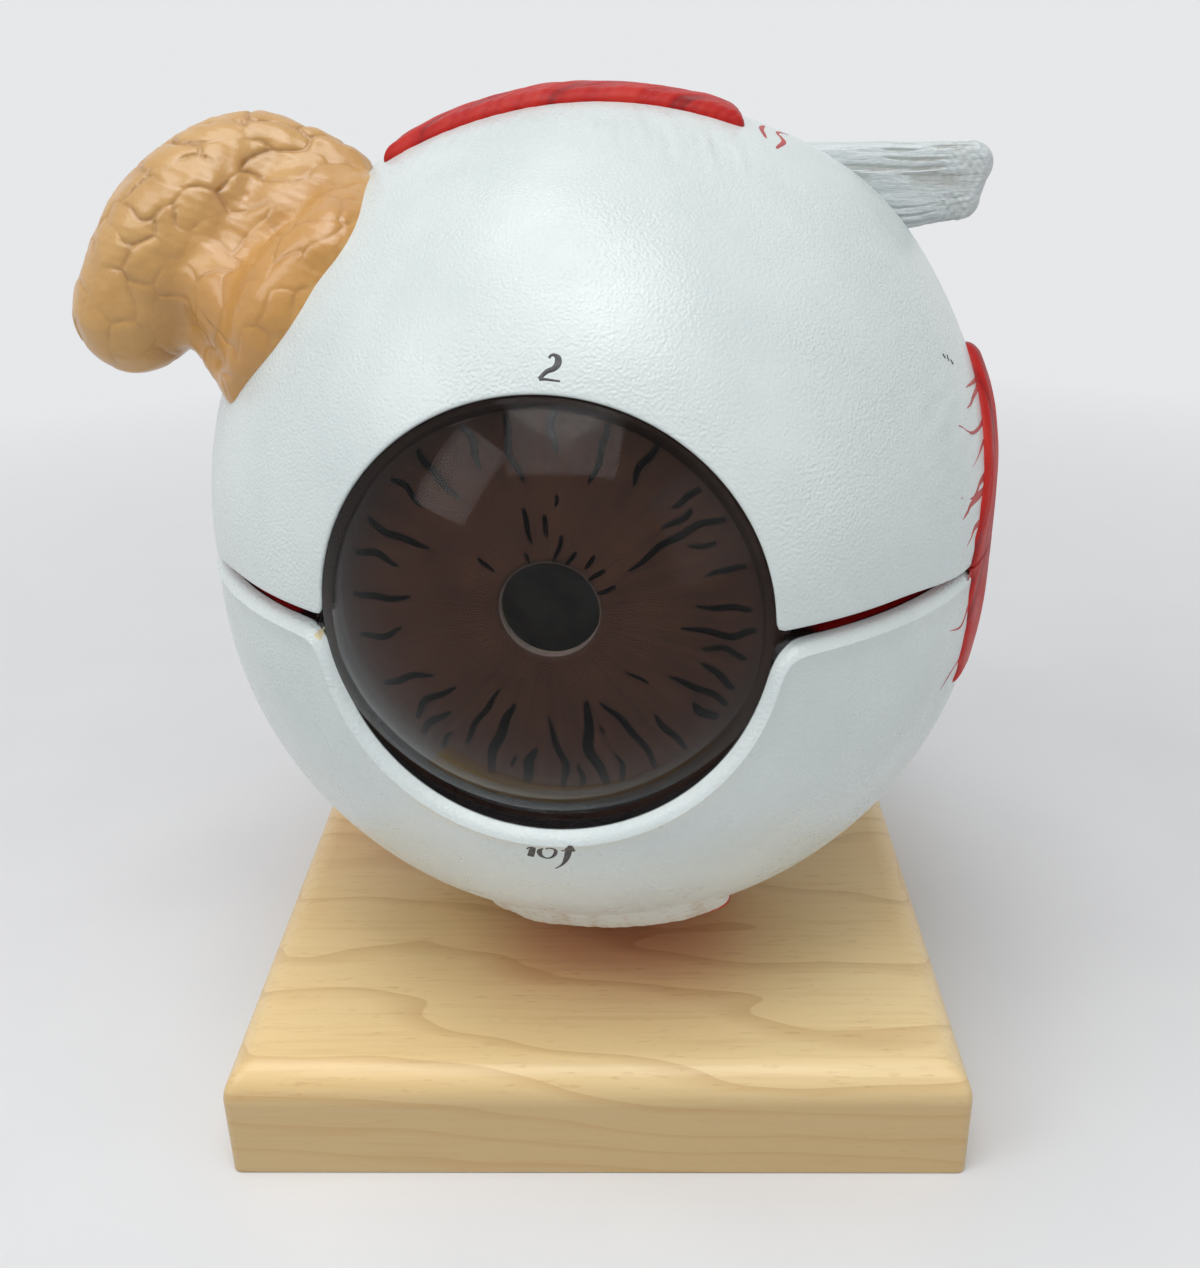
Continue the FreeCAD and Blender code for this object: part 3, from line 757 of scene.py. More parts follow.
@dataclass(frozen=True)
class IrisBrown:
    """Brown iris with radial fibres, darker at the root and round the pupil, with a painted highlight on the
    pupil's edge.
    """

    base: Colour = ink(48, 30, 22)
    dark: Colour = ink(37, 24, 18)
    light: Colour = ink(58, 38, 28)
    edge: Colour = ink(84, 74, 68)

    def material(self) -> bpy.types.Material:
        """Builds the paint."""
        bench = NodeBench("iris_brown")
        fibre = bench.note("fibre")
        cloud = bench.noise(160.0, 4.0, 0.6)
        level = bench.plus(bench.times(fibre, 0.3), bench.times(cloud, 0.7))
        colour = bench.ramp(level, [(0.25, self.dark), (0.5, self.base), (0.8, self.light)])
        colour = bench.mix(bench.times(bench.note("rim"), 0.7), colour, self.dark)
        # Painted highlight: the pupil's lit edge is a paler ring.
        colour = bench.mix(bench.note("lip"), colour, self.edge)
        normal = bench.bump(bench.noise(500.0, 2.0), 0.00004)
        return bench.done(colour, 0.6, normal, Specular_IOR_Level=0.05)


@dataclass(frozen=True)
class BrushInk:
    """Hand-painted strokes: thin enamel with an uneven edge to its colour."""

    name: str
    base: Colour
    faded: Colour
    roughness: float = 0.4
    gloss: float = 0.5

    def material(self) -> bpy.types.Material:
        """Builds the paint."""
        bench = NodeBench(self.name)
        wear = bench.noise(700.0, 3.0, 0.6)
        colour = bench.mix(bench.span(wear, 0.45, 0.75), self.base, self.faded)
        normal = bench.bump(bench.noise(1500.0, 2.0), 0.00005)
        return bench.done(colour, bench.span(wear, 0.3, 0.7, self.roughness - 0.06, self.roughness + 0.1),
                          normal, Specular_IOR_Level=self.gloss)


@dataclass(frozen=True)
class ClearAcrylic:
    """Clear cast acrylic with a little dust; a low index keeps the pale surroundings' reflection faint."""

    name: str
    tint: Colour = (0.97, 0.98, 0.99, 1.0)
    roughness: float = 0.005
    index: float = 1.49
    sheen: Colour = (0.16, 0.16, 0.16, 1.0)

    def material(self) -> bpy.types.Material:
        """Builds the plastic."""
        bench = NodeBench(self.name)
        rough = bench.span(bench.noise(60.0, 2.0), 0.4, 0.7, self.roughness, self.roughness + 0.006)
        normal = bench.bump(bench.noise(90.0, 0.0), 0.00001)
        return bench.done(self.tint, rough, normal, Transmission_Weight=1.0, IOR=self.index,
                          Specular_Tint=self.sheen)


@dataclass(frozen=True)
class MapleWood:
    """Pale maple: thin curved growth lines, fine pores and a satin lacquer; its sides below the top are
    painted darker as shade.
    """

    base: Colour = ink(231, 196, 136)
    light: Colour = ink(243, 215, 160)
    line: Colour = ink(188, 140, 78)
    side: Colour = ink(203, 174, 124)
    top_z: float = 0.019
    side_shade_from: float = 0.0015
    side_shade_full: float = 0.006
    grain_turn: float = 4.0
    line_share: float = 0.34
    streak_share: float = 0.24

    def material(self) -> bpy.types.Material:
        """Builds the wood; the grain runs across the board, along X."""
        bench = NodeBench("maple")
        where = bench.place(turn=self.grain_turn)
        slow = bench.place((7.0, 26.0, 26.0), self.grain_turn)
        drift = bench.noise(1.0, 3.0, 0.5, slow)
        split = bench.add("ShaderNodeSeparateXYZ", {"Vector": where})
        across = bench.plus(bench.times(split.outputs["Y"], 70.0), bench.times(split.outputs["Z"], 160.0))
        rings = bench.plus(across, bench.times(drift, 6.0))
        saw = bench.math("FRACT", rings)
        line = bench.times(bench.span(saw, 0.72, 0.98), bench.span(saw, 1.0, 0.985))
        broad = bench.noise(0.6, 2.0, at=slow)
        body = bench.mix(bench.span(broad, 0.35, 0.65), self.base, self.light)
        # Painted shade: faces below the top edge turn to the darker side colour, as the sides of the top-lit
        # board lie in shade.
        below = bench.span(split.outputs["Z"], self.top_z - self.side_shade_from, self.top_z - self.side_shade_full)
        body = bench.mix(below, body, self.side)
        body = bench.mix(bench.times(line, self.line_share), body, self.line)
        streaks = bench.noise(1.0, 4.0, 0.6, bench.place((40.0, 900.0, 900.0), self.grain_turn))
        body = bench.mix(bench.span(streaks, 0.5, 0.8, 0.0, self.streak_share), body, self.line)
        flecks = bench.noise(1.0, 2.0, 0.5, bench.place((260.0, 1500.0, 1500.0)))
        body = bench.mix(bench.span(flecks, 0.62, 0.75, 0.0, 0.3), body, self.line)
        normal = bench.bump(streaks, 0.00006)
        rough = bench.span(streaks, 0.3, 0.7, 0.36, 0.46)
        return bench.done(body, rough, normal, Coat_Weight=0.2, Coat_Roughness=0.25)


@dataclass(frozen=True)
class TurnedMetal:
    """Turned metal with fine rings."""

    name: str
    base: Colour
    roughness: float

    def material(self) -> bpy.types.Material:
        """Builds the metal; the tool marks run round the post."""
        bench = NodeBench(self.name)
        marks = bench.noise(1.0, 2.0, at=bench.place((60.0, 60.0, 6000.0)))
        cloud = bench.noise(120.0, 3.0)
        colour = bench.mix(bench.span(cloud, 0.4, 0.8, 0.0, 0.25), self.base,
                           tuple(0.6 * value for value in self.base[:3]) + (1.0,))
        rough = bench.span(marks, 0.3, 0.7, self.roughness - 0.06, self.roughness + 0.08)
        return bench.done(colour, rough, bench.bump(marks, 0.00003), Metallic=1.0)


@dataclass(frozen=True)
class WasherPlastic:
    """Off-white moulded plastic."""

    base: Colour = ink(226, 224, 214)

    def material(self) -> bpy.types.Material:
        """Builds the plastic."""
        bench = NodeBench("washer_plastic")
        grain = bench.noise(1400.0, 2.0)
        colour = bench.mix(bench.span(grain, 0.4, 0.7, 0.0, 0.3), self.base, ink(205, 202, 190))
        return bench.done(colour, bench.span(grain, 0.3, 0.7, 0.36, 0.46), bench.bump(grain, 0.00003))


class Palette:
    """Makes each finish once and hands it to the pieces that use it."""

    def __init__(self) -> None:
        """Starts with no material made."""
        self.made: Dict[object, bpy.types.Material] = {}

    def give(self, finish: object) -> bpy.types.Material:
        """The material of a finish, made at its first use."""
        if finish not in self.made:
            self.made[finish] = finish.material()
        return self.made[finish]


PALETTE = Palette()


class Body(Enum):
    """The model's bodies, which the pieces ride on."""

    STAND = "stand"
    WASHER = "washer"
    EYE_LOWER = "eye_lower"
    VITREOUS = "vitreous"
    IRIS = "iris"
    CORNEA = "cornea"
    CHOROID_UPPER = "choroid_upper"
    SCLERA_UPPER = "sclera_upper"


class Half(Enum):
    """Upper or lower half of a coat; the value is the direction of its middle along Z."""

    UPPER = 1.0
    LOWER = -1.0


def dress(piece: bpy.types.Object, finish: object) -> None:
    """Gives a piece its finish and no other."""
    piece.data.materials.clear()
    piece.data.materials.append(PALETTE.give(finish))


def fit_piece(piece: bpy.types.Object, body: Body, finish: object,
              replaces: Sequence[str] = ()) -> None:
    """Dresses a new piece and says what it rides on and stands for.

    Args:
        piece: the new object.
        body: the body it moves with.
        finish: the finish it gets.
        replaces: CAD nodes that it stands for.
    """
    dress(piece, finish)
    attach(piece, body.value)
    if replaces:
        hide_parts(*replaces)
    LOG.info("%s: %d faces on %s", piece.name, len(piece.data.polygons), body.value)


def dress_node(node: str, finish: object) -> None:
    """Gives a CAD node that stays in view its finish."""
    dress(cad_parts[node], finish)
    LOG.info("%s: dressed", node)


# ---- the white shells
@dataclass
class WhiteShells:
    """The two halves of the white coat.

    The lip is where the round edge leaves the skin and where it meets the cut face, behind and
    under the seam line; the bevel flattens it. The bead is a low roll behind the lower lip, the
    mound a swelling round the pulley tendon, and the chip a worn spot on the lower lip.
    """

    around: int = 480
    outer_rows: int = 90
    inner_rows: int = 24
    lip: Dict[Half, Tuple[float, float]] = field(
        default_factory=lambda: {Half.UPPER: (0.8, 0.7), Half.LOWER: (1.8, 1.9)})
    bevel: Dict[Half, float] = field(default_factory=lambda: {Half.UPPER: 0.0, Half.LOWER: 0.6})
    corner_blur: Dict[Half, float] = field(
        default_factory=lambda: {Half.UPPER: 0.9, Half.LOWER: 3.4})
    corner_reach: float = 9.0
    bead: float = 0.5
    bead_flat: float = 1.4
    bead_width: float = 1.3
    bead_start: float = 22.0
    bead_run: float = 10.0
    wave: float = 0.05
    side_fold: float = 0.24
    side_fold_place: Triple = (54.0, -27.0, 6.0)
    side_fold_reach: Triple = (14.0, 8.0, 24.0)
    top_fold: float = 0.14
    top_fold_place: Triple = (4.0, -19.0, 56.0)
    top_fold_reach: Triple = (34.0, 7.0, 12.0)
    mound_height: float = 1.45
    mound_place: Triple = (41.0, 5.0, 46.0)
    mound_reach: Triple = (20.0, 11.0, 15.0)
    red_from: float = 6.0
    red_run: float = 1.2
    chip: Triple = (-30.6, -52.9, -2.9)
    chip_size: float = 1.4
    peg_ring: float = 59.15
    peg_hole: float = 1.35
    peg_depth: float = 4.5
    peg_azimuths: Tuple[float, ...] = (-145.0, -75.0, 75.0, 145.0)
    bush_radius: float = 7.45
    bush_top: float = -58.47
    finish: ShellPaint = ShellPaint()

    def lip_height(self, depth: Array) -> Array:
        """Height of the upper lip: an S from the seam's level to the open gap."""
        share = (depth - EYE.gap_closed) / (EYE.gap_open - EYE.gap_closed)
        return EYE.seam_z + EYE.seam_gap * ease(share)

    def edge(self, half: Half) -> Array:
        """The closed line where a half's outer skin ends, with its corners eased.

        It runs along the seam from the nose's corner round the back, and returns round the opening:
        (R sin a, -R cos a, z) on the seam and (r cos b, -depth, r sin b) round the opening.
        """
        upper = half is Half.UPPER
        level = EYE.seam_z + EYE.seam_gap if upper else EYE.seam_z
        corner = math.asin(math.sqrt(EYE.opening ** 2 - level ** 2) / EYE.radius)
        angle = np.linspace(corner, 2.0 * math.pi - corner, 3000)
        z = self.lip_height(EYE.radius * np.cos(angle)) if upper else np.full(3000, level)
        seam = as_points(EYE.radius * np.sin(angle), -EYE.radius * np.cos(angle), z)
        tilt = math.asin(level / EYE.opening)
        turn = np.linspace(math.pi - tilt, tilt if upper else 2 * math.pi + tilt, 900)
        arc = EYE.ahead(EYE.opening * np.cos(turn), EYE.opening * np.sin(turn))
        fine = even_loop(np.vstack([seam, arc[1:-1]]), 4800)
        corners = np.stack([seam[0], seam[-1]])
        away = np.linalg.norm(fine[:, None, :] - corners, axis=2).min(axis=1)
        near = np.exp(-(away / self.corner_reach) ** 2)[:, None]
        eased = blend(fine, blurred_loop(fine, self.corner_blur[half]), near)
        return EYE.skin(even_loop(eased, self.around))

    def lower_bead(self, points: Array) -> Array:
        """Height of the low bead behind the lower lip in front.

        It falls off as a bell curve with the distance from the seam or the opening, whichever is
        nearer: -log(exp(-a) + exp(-b)) is their smooth minimum.
        """
        below = EYE.seam_z - points[..., 2]
        away = 1.15 * (np.hypot(points[..., 0], points[..., 2]) - EYE.opening)
        near = -np.logaddexp(-below, -away)
        fall = np.exp(-(np.maximum(near - self.bead_flat, 0.0) / self.bead_width) ** 2)
        return self.bead * fall * ease((-points[..., 1] - self.bead_start) / self.bead_run)

    def mound(self, points: Array) -> Array:
        """Height of the soft mound round the root of the pulley tendon: a bell in three directions."""
        return self.mound_height * bell(points, self.mound_place, self.mound_reach)

    def relief(self, points: Array) -> Array:
        """Low waves of the hand-finished skin, with folds in front of the muscles."""
        beside = bell(points, self.side_fold_place, self.side_fold_reach)
        above = bell(points, self.top_fold_place, self.top_fold_reach)
        level_folds = ripple(points * np.array([0.4, 0.35, 1.3]), 2.6, 9)
        long_folds = ripple(points * np.array([1.3, 0.35, 0.4]), 2.6, 10)
        return (self.wave * ripple(points, 22.0, 4) + self.side_fold * level_folds * beside
                + self.top_fold * long_folds * above + self.mound(points))

    def surface(self, half: Half) -> Surface:
        """One half as rows from its outer pole over the lip to its inner pole.

        The note "parting" is 0 on the white skin, 0.5 where the cut faces by the opening are painted near
        black as shade, and 1 on the red cut.
        """
        edge = self.edge(half)
        normal = EYE.normal(edge)
        along = unit(np.roll(edge, -1, axis=0) - np.roll(edge, 1, axis=0))
        inward = np.cross(normal, along) * half.value
        face = np.hypot(edge[:, 0], edge[:, 2])
        openness = np.where(edge[:, 1] < 0.0, ease((EYE.opening + 5.0 - face) / 5.0), 0.0)[:, None]
        level = edge * np.array([1.0, 1.0, 0.0])
        wall = unit(blend(-unit(level), np.array([0.0, 1.0, 0.0]), openness))
        back, deep = self.lip[half]
        start = EYE.skin(edge + inward * back)
        end = edge + wall * deep
        raised = self.lower_bead(edge)[:, None] if half is Half.LOWER else 0.0
        pole = EYE.pole(half.value)
        centre = np.array([0.0, 0.0, EYE.dome_z if half is Half.UPPER else EYE.bowl_z])
        share = np.linspace(0.0, 1.0, self.outer_rows + 1)[1:]
        share = share + 0.12 * np.sin(math.pi * share)
        outer = centre + EYE.radius * great_arc(pole, unit(start - centre), share / share[-1])
        outer = EYE.skin(outer)
        fade = ease(np.linspace(12.0, 0.0, self.outer_rows) / 4.0)[:, None, None]
        outer = outer + EYE.normal(outer) * self.relief(outer)[..., None] * fade
        if half is Half.LOWER:
            outer = outer + EYE.normal(outer) * self.lower_bead(outer)[..., None]
        t = np.linspace(0.0, 1.0, 10)[1:, None, None]
        bend = blend(edge + raised * normal, (outer[-1] + end) / 2.0, self.bevel[half])
        rim = (1 - t) ** 2 * outer[-1] + 2 * t * (1 - t) * bend + t ** 2 * end
        inner = self.wall_rows(edge, end, openness)
        shares = np.linspace(1.0, 0.0, self.inner_rows + 1)[1:-1]
        inside = EYE.cavity * great_arc(pole, unit(inner[-1]), shares)
        rows = np.concatenate([outer, rim, inner, inside])
        if half is Half.LOWER:
            rows[..., 2] = np.maximum(rows[..., 2], EYE.seat_z)
        painted = np.zeros(rows.shape[:2])
        first = len(outer) + len(rim) - 1
        # The seam's cut faces turn red from red_from past the opening; nearer the opening, and on the
        # opening's wall, they get 0.5, painted shade.
        red = 0.5 + 0.5 * ease((face - EYE.opening - self.red_from) / self.red_run)
        painted[first:first + len(inner) + 1] = np.where(openness[:, 0] < 0.5, red, 0.5)
        shell = Surface.grid(rows, EYE.skin(centre + EYE.radius * pole), EYE.cavity * pole)
        chip = bell(shell.points, self.chip, (self.chip_size,) * 3)
        return shell.noted(parting=painted, chip=chip if half is Half.LOWER else 0.0)

    def wall_rows(self, edge: Array, end: Array, openness: Array) -> Array:
        """Rows of the cut face: the groove for the cornea at the opening, plain at the seam."""
        around = unit(edge * np.array([1.0, 0.0, 1.0]))
        plan = unit(edge * np.array([1.0, 1.0, 0.0]))
        height = edge * np.array([0.0, 0.0, 1.0])
        cavity_back = math.sqrt(EYE.cavity ** 2 - EYE.groove ** 2)
        stops = [(EYE.opening, EYE.groove_front), (EYE.groove, EYE.groove_front), (EYE.groove, cavity_back)]
        rows = [end]
        reach = np.sqrt(EYE.cavity ** 2 - edge[:, 2:] ** 2)
        for (radius, depth), part in zip(stops, (0.35, 0.7, 1.0)):
            groove = around * radius + np.array([0.0, -depth, 0.0])
            flat = height + plan * blend(np.full_like(reach, EYE.radius), reach, part)
            rows.append(blend(flat, groove, openness))
        dense = [blend(a, b, t) for a, b in zip(rows, rows[1:]) for t in (0.25, 0.5, 0.75, 1.0)]
        return np.stack(dense)

    def build(self) -> None:
        """Makes both halves and drills them."""
        azimuths = np.radians(self.peg_azimuths)
        places = self.peg_ring * np.stack([np.sin(azimuths), -np.cos(azimuths)], axis=-1)
        upper = self.surface(Half.UPPER).to_object("sclera_upper_shell")
        cut_away(upper, [drill(place, self.peg_hole, EYE.seam_z - 1.0, EYE.seam_z + self.peg_depth, 24)
                         for place in places])
        fit_piece(upper, Body.SCLERA_UPPER, self.finish, ["sclera_upper"])
        lower = self.surface(Half.LOWER).to_object("sclera_lower_shell")
        cut_away(lower, [drill(np.zeros(2), self.bush_radius, EYE.seat_z - 3.0, self.bush_top)])
        fit_piece(lower, Body.EYE_LOWER, self.finish, ["sclera_lower"])


@dataclass
class PaintedMarks:
    """Numerals, red flames and vessels, and dabs painted on the white shells.

    Points of the numerals are x, z and width; flames are y and z, and vessels x and y.
    """

    height: float = 0.05
    ink_black: BrushInk = BrushInk("numeral_ink", ink(44, 42, 46), ink(92, 92, 96))
    ink_red: BrushInk = BrushInk("vessel_red", ink(168, 30, 28), ink(196, 84, 74))
    two: Tuple[Line, ...] = (
        ((1.4, 33.48, 16), (1.6, 33.75, 16), (2.01, 33.82, 20), (2.47, 33.49, 36), (2.5, 32.9, 40),
         (2.08, 32.41, 34), (1.24, 32.08, 28), (.64, 31.58, 24), (.4, 31.27, 26)),
        ((.39, 31.29, 22), (1.07, 31.27, 16), (1.98, 31.17, 14), (2.89, 31.07, 12)))
    ten: Tuple[Line, ...] = (
        ((-3.12, -32.6, 10), (-2.61, -32.05, 14), (-2.11, -31.93, 22)),
        ((-2.16, -31.91, 30), (-2.46, -33.07, 34), (-2.82, -34.24, 34)),
        ((-.46, -32.22, 10), (.11, -31.73, 14), (.84, -32.14, 18), (.77, -33.2, 20), (.19, -34.11, 14),
         (-.63, -34.39, 12), (-1.33, -33.85, 24), (-1.38, -32.78, 26), (-.8, -32, 10)),
        ((.39, -36.83, 6), (1.48, -35.72, 14), (2.21, -34.17, 30), (2.72, -32.29, 34), (3.08, -30.98, 26)),
        ((1.66, -32.42, 10), (2.14, -32.35, 14), (2.65, -31.54, 26), (3.11, -30.84, 20)),
        ((3.11, -30.84, 20), (3.24, -31.58, 20), (3.36, -32.51, 20)))
    flames: Tuple[Line, ...] = (
        ((-2.9, 20.6), (-12.5, 21.9), (-16.8, 22.3)), ((-13.0, 16.2), (-19.9, 16.6), (-24.1, 18.8)),
        ((-15.6, 13.8), (-20.3, 12.9), (-24.1, 12.2)), ((-20.0, 9.5), (-23.3, 8.3), (-27.9, 9.6)),
        ((-23.3, 3.8), (-25.0, 2.8), (-26.5, 2.1)), ((-24.0, -2.9), (-25.1, -4.1), (-25.9, -5.4)),
        ((-23.6, -8.4), (-25.8, -10.4), (-29.8, -9.5)), ((-22.7, -16.7), (-25.8, -17.8), (-28.6, -19.6)),
        ((-13.7, 20.4), (-17.2, 20.0), (-19.9, 20.0)), ((-24.2, 7.8), (-26.2, 7.0), (-27.9, 6.5)))

    two_weight: float = 0.0108
    ten_weight: float = 0.0138
    muscle_z: Tuple[float, ...] = (-22.0, 1.0, 16.0, 26.0)
    muscle_y: Tuple[float, ...] = (-23.0, -24.0, -13.0, -3.0)
    flame_width: Tuple[float, float] = (0.8, 0.08)
    vessels: Tuple[Line, ...] = (
        ((24.7, -0.5), (24.5, -3.8), (25.3, -8.0)), ((26.6, -2.0), (27.7, -5.5), (26.9, -10.5)),
        ((28.0, 1.0), (27.0, 0.0), (26.6, -2.0)))
    vessel_width: float = 0.38
    dabs: Tuple[Triple, ...] = ((50.8, -20.4, 27.5), (51.4, -19.4, 27.0), (52.1, -18.6, 26.3))
    dab_size: float = 0.45

    def numeral(self, strokes: Sequence[Line], weight: float) -> Surface:
        """Strokes of a hand-painted numeral on the front of the shell."""
        parts = []
        for stroke in strokes:
            line = flowing_line(np.array(stroke, dtype=float), 10 * len(stroke))
            path = EYE.ahead(line[:, 0], line[:, 1])
            normal = EYE.normal(path)
            if line[0, 1] < EYE.seam_z:
                path = path + normal * WhiteShells().lower_bead(path)[:, None]
            parts.append(brush(path, normal, line[:, 2] * weight, self.height))
        return Surface.joined(parts)

    def red_lines(self, upper: bool) -> Surface:
        """Thin flames that run forward from the muscle at the nose's side, and vessels above.

        A flame starts under the muscle, whose front edge is given as y over z.

        Args:
            upper: whether the upper shell's lines are wanted, or the lower shell's.

        Returns:
            The strokes of that shell.
        """
        parts = []
        for number, flame in enumerate(self.flames):
            if (flame[0][1] > EYE.seam_z) is not upper:
                continue
            muscle = float(np.interp(flame[0][1], self.muscle_z, self.muscle_y))
            root = (max(flame[0][0] + 0.5, muscle + 2.0), flame[0][1])
            line = flowing_line(np.array((root,) + tuple(flame)), 40)
            path = EYE.beside(line[:, 0], line[:, 1], 1.0)
            width = np.linspace(*self.flame_width, 40) ** 1.2 * (1.0 - 0.15 * (number % 3))
            parts.append(brush(path, EYE.normal(path), width, self.height))
        if upper:
            for vessel in self.vessels:
                line = flowing_line(np.array(vessel), 30)
                path = EYE.over(line[:, 0], line[:, 1], 1.0)
                normal = EYE.normal(path)
                path = path + normal * WhiteShells().mound(path)[:, None]
                parts.append(brush(path, normal, tapered(30, self.vessel_width), self.height))
        return Surface.joined(parts)

    def spots(self) -> Surface:
        """Short dabs on the skin at a few places."""
        parts = []
        for number, place in enumerate(self.dabs):
            way = unit(np.array([0.3, 0.4 * (-1) ** number, -0.8]))
            path = EYE.skin(np.array(place) + way * np.linspace(-self.dab_size, self.dab_size, 12)[:, None])
            width = tapered(12, 0.4 * self.dab_size, 0.2, 0.2)
            parts.append(brush(path, EYE.normal(path), width, self.height))
        return Surface.joined(parts)

    def build(self) -> None:
        """Paints every mark."""
        two = self.numeral(self.two, self.two_weight).to_object("numeral_two")
        fit_piece(two, Body.SCLERA_UPPER, self.ink_black)
        ten = self.numeral(self.ten, self.ten_weight).to_object("numeral_ten_arrow")
        fit_piece(ten, Body.EYE_LOWER, self.ink_black)
        for upper, body in ((True, Body.SCLERA_UPPER), (False, Body.EYE_LOWER)):
            red = self.red_lines(upper).to_object("painted_vessels_" + ("upper" if upper else "lower"))
            fit_piece(red, body, self.ink_red)
        dabs = self.spots().to_object("paint_dabs")
        fit_piece(dabs, Body.SCLERA_UPPER, self.ink_black)


# ---- the coats inside
@dataclass
class InnerCoats:
    """Vascular coat with the retina, and the pleated ciliary ring, each in two halves."""

    outer: float = 56.5
    inner: float = 54.1
    cut_z: float = -1.1
    front: float = 44.0
    around: int = 320
    rows: int = 50
    tip: float = 23.3
    tip_depth: float = 43.4
    tip_land: float = 2.6
    ring_front: float = 46.0
    ring_back: float = 39.0
    ring_front_radius: float = 26.97
    pleats: int = 36
    pleat_depth: float = 1.5
    coat: CoatRed = CoatRed()
    brown: CiliaryBrown = CiliaryBrown()

    def coat_surface(self, half: Half) -> Surface:
        """One half of the coat: two great-arc skins joined at the cut and at the front."""
        mouth = math.sqrt(self.outer ** 2 - self.front ** 2)
        mouth_in = math.sqrt(self.inner ** 2 - self.front ** 2)
        reach = math.sqrt(self.outer ** 2 - self.cut_z ** 2)
        start = math.acos(self.front / reach)
        angle = np.linspace(start, 2.0 * math.pi - start, 1500)
        seam = as_points(reach * np.sin(angle), -reach * np.cos(angle), self.cut_z)
        tilt = math.asin(self.cut_z / mouth)
        stop = tilt if half is Half.UPPER else 2 * math.pi + tilt
        turn = np.linspace(math.pi - tilt, stop, 700)
        front = ring_points(np.array(mouth), np.array(self.front), turn)
        edge = even_loop(np.vstack([seam, front[1:-1]]), self.around)
        face = np.hypot(edge[:, 0], edge[:, 2])
        open_share = np.where(edge[:, 1] < -self.front + 0.4, ease((mouth + 1.5 - face) / 1.5), 0.0)[:, None]
        plan = unit(edge * np.array([1.0, 1.0, 0.0])) * math.sqrt(self.inner ** 2 - self.cut_z ** 2)
        flat = plan + np.array([0.0, 0.0, self.cut_z])
        ring = unit(edge * np.array([1.0, 0.0, 1.0])) * mouth_in + np.array([0.0, -self.front, 0.0])
        inner_edge = blend(flat, ring, open_share)
        pole = EYE.pole(half.value)
        share = np.linspace(0.0, 1.0, self.rows + 1)[1:]
        outside = self.outer * great_arc(pole, unit(edge), share)
        inside = self.inner * great_arc(pole, unit(inner_edge), share[::-1])
        rows = np.concatenate([outside, inside])
        surface = Surface.grid(rows, self.outer * pole, self.inner * pole)
        depth = np.linalg.norm(surface.points, axis=1)
        return surface.noted(inside=(depth < (self.outer + self.inner) / 2.0).astype(float))

    def ring_surface(self, half: Half) -> Surface:
        """Half a pleated ring: its section is carried round the line of sight."""
        start = math.acos(self.ring_front / self.inner)
        end = math.acos(self.ring_back / self.inner)
        rim = np.linspace(start, end, 8)
        section = [(self.inner * math.sin(a) - 0.05, self.inner * math.cos(a), 0.0) for a in rim]
        back, front = self.tip_depth - self.tip_land / 2.0, self.tip_depth + self.tip_land / 2.0
        for share in (0.2, 0.4, 0.6, 0.8):
            section.append((blend(section[7][0], self.tip, share), blend(self.ring_back, back, share), share))
        for share in (0.0, 0.5, 1.0):
            section.append((self.tip, blend(back, front, share), 1.0))
        for share in (0.4, 0.8):
            section.append((blend(self.tip, self.ring_front_radius, share),
                            blend(front, self.ring_front, share), 1.0 - share))
        section.append((self.ring_front_radius, self.ring_front, 0.0))
        radius, depth, pleat = (np.array(column) for column in zip(*section))
        share = np.linspace(0.0, 1.0, 900)[:, None]
        tilt = np.arcsin(self.cut_z / radius)
        sweep = math.pi - 2.0 * tilt if half is Half.UPPER else -(math.pi + 2.0 * tilt)
        angle = tilt + sweep * share
        wave = 0.5 - 0.5 * np.cos(2.0 * self.pleats * angle)
        radius = radius + self.pleat_depth * pleat * wave ** 2
        sections = ring_points(radius, np.broadcast_to(depth, radius.shape), angle)
        return Surface.rod(sections).noted(crease=pleat * wave)

    def build(self) -> None:
        """Makes the halves of the coat and of the ring."""
        for half, body in ((Half.UPPER, Body.CHOROID_UPPER), (Half.LOWER, Body.EYE_LOWER)):
            name = half.name.lower()
            coat = self.coat_surface(half).to_object("vascular_coat_" + name)
            fit_piece(coat, body, self.coat, ["choroid_" + name])
            ring = self.ring_surface(half).to_object("ciliary_ring_" + name, 50.0)
            fit_piece(ring, body, self.brown, ["ciliary_body_" + name])


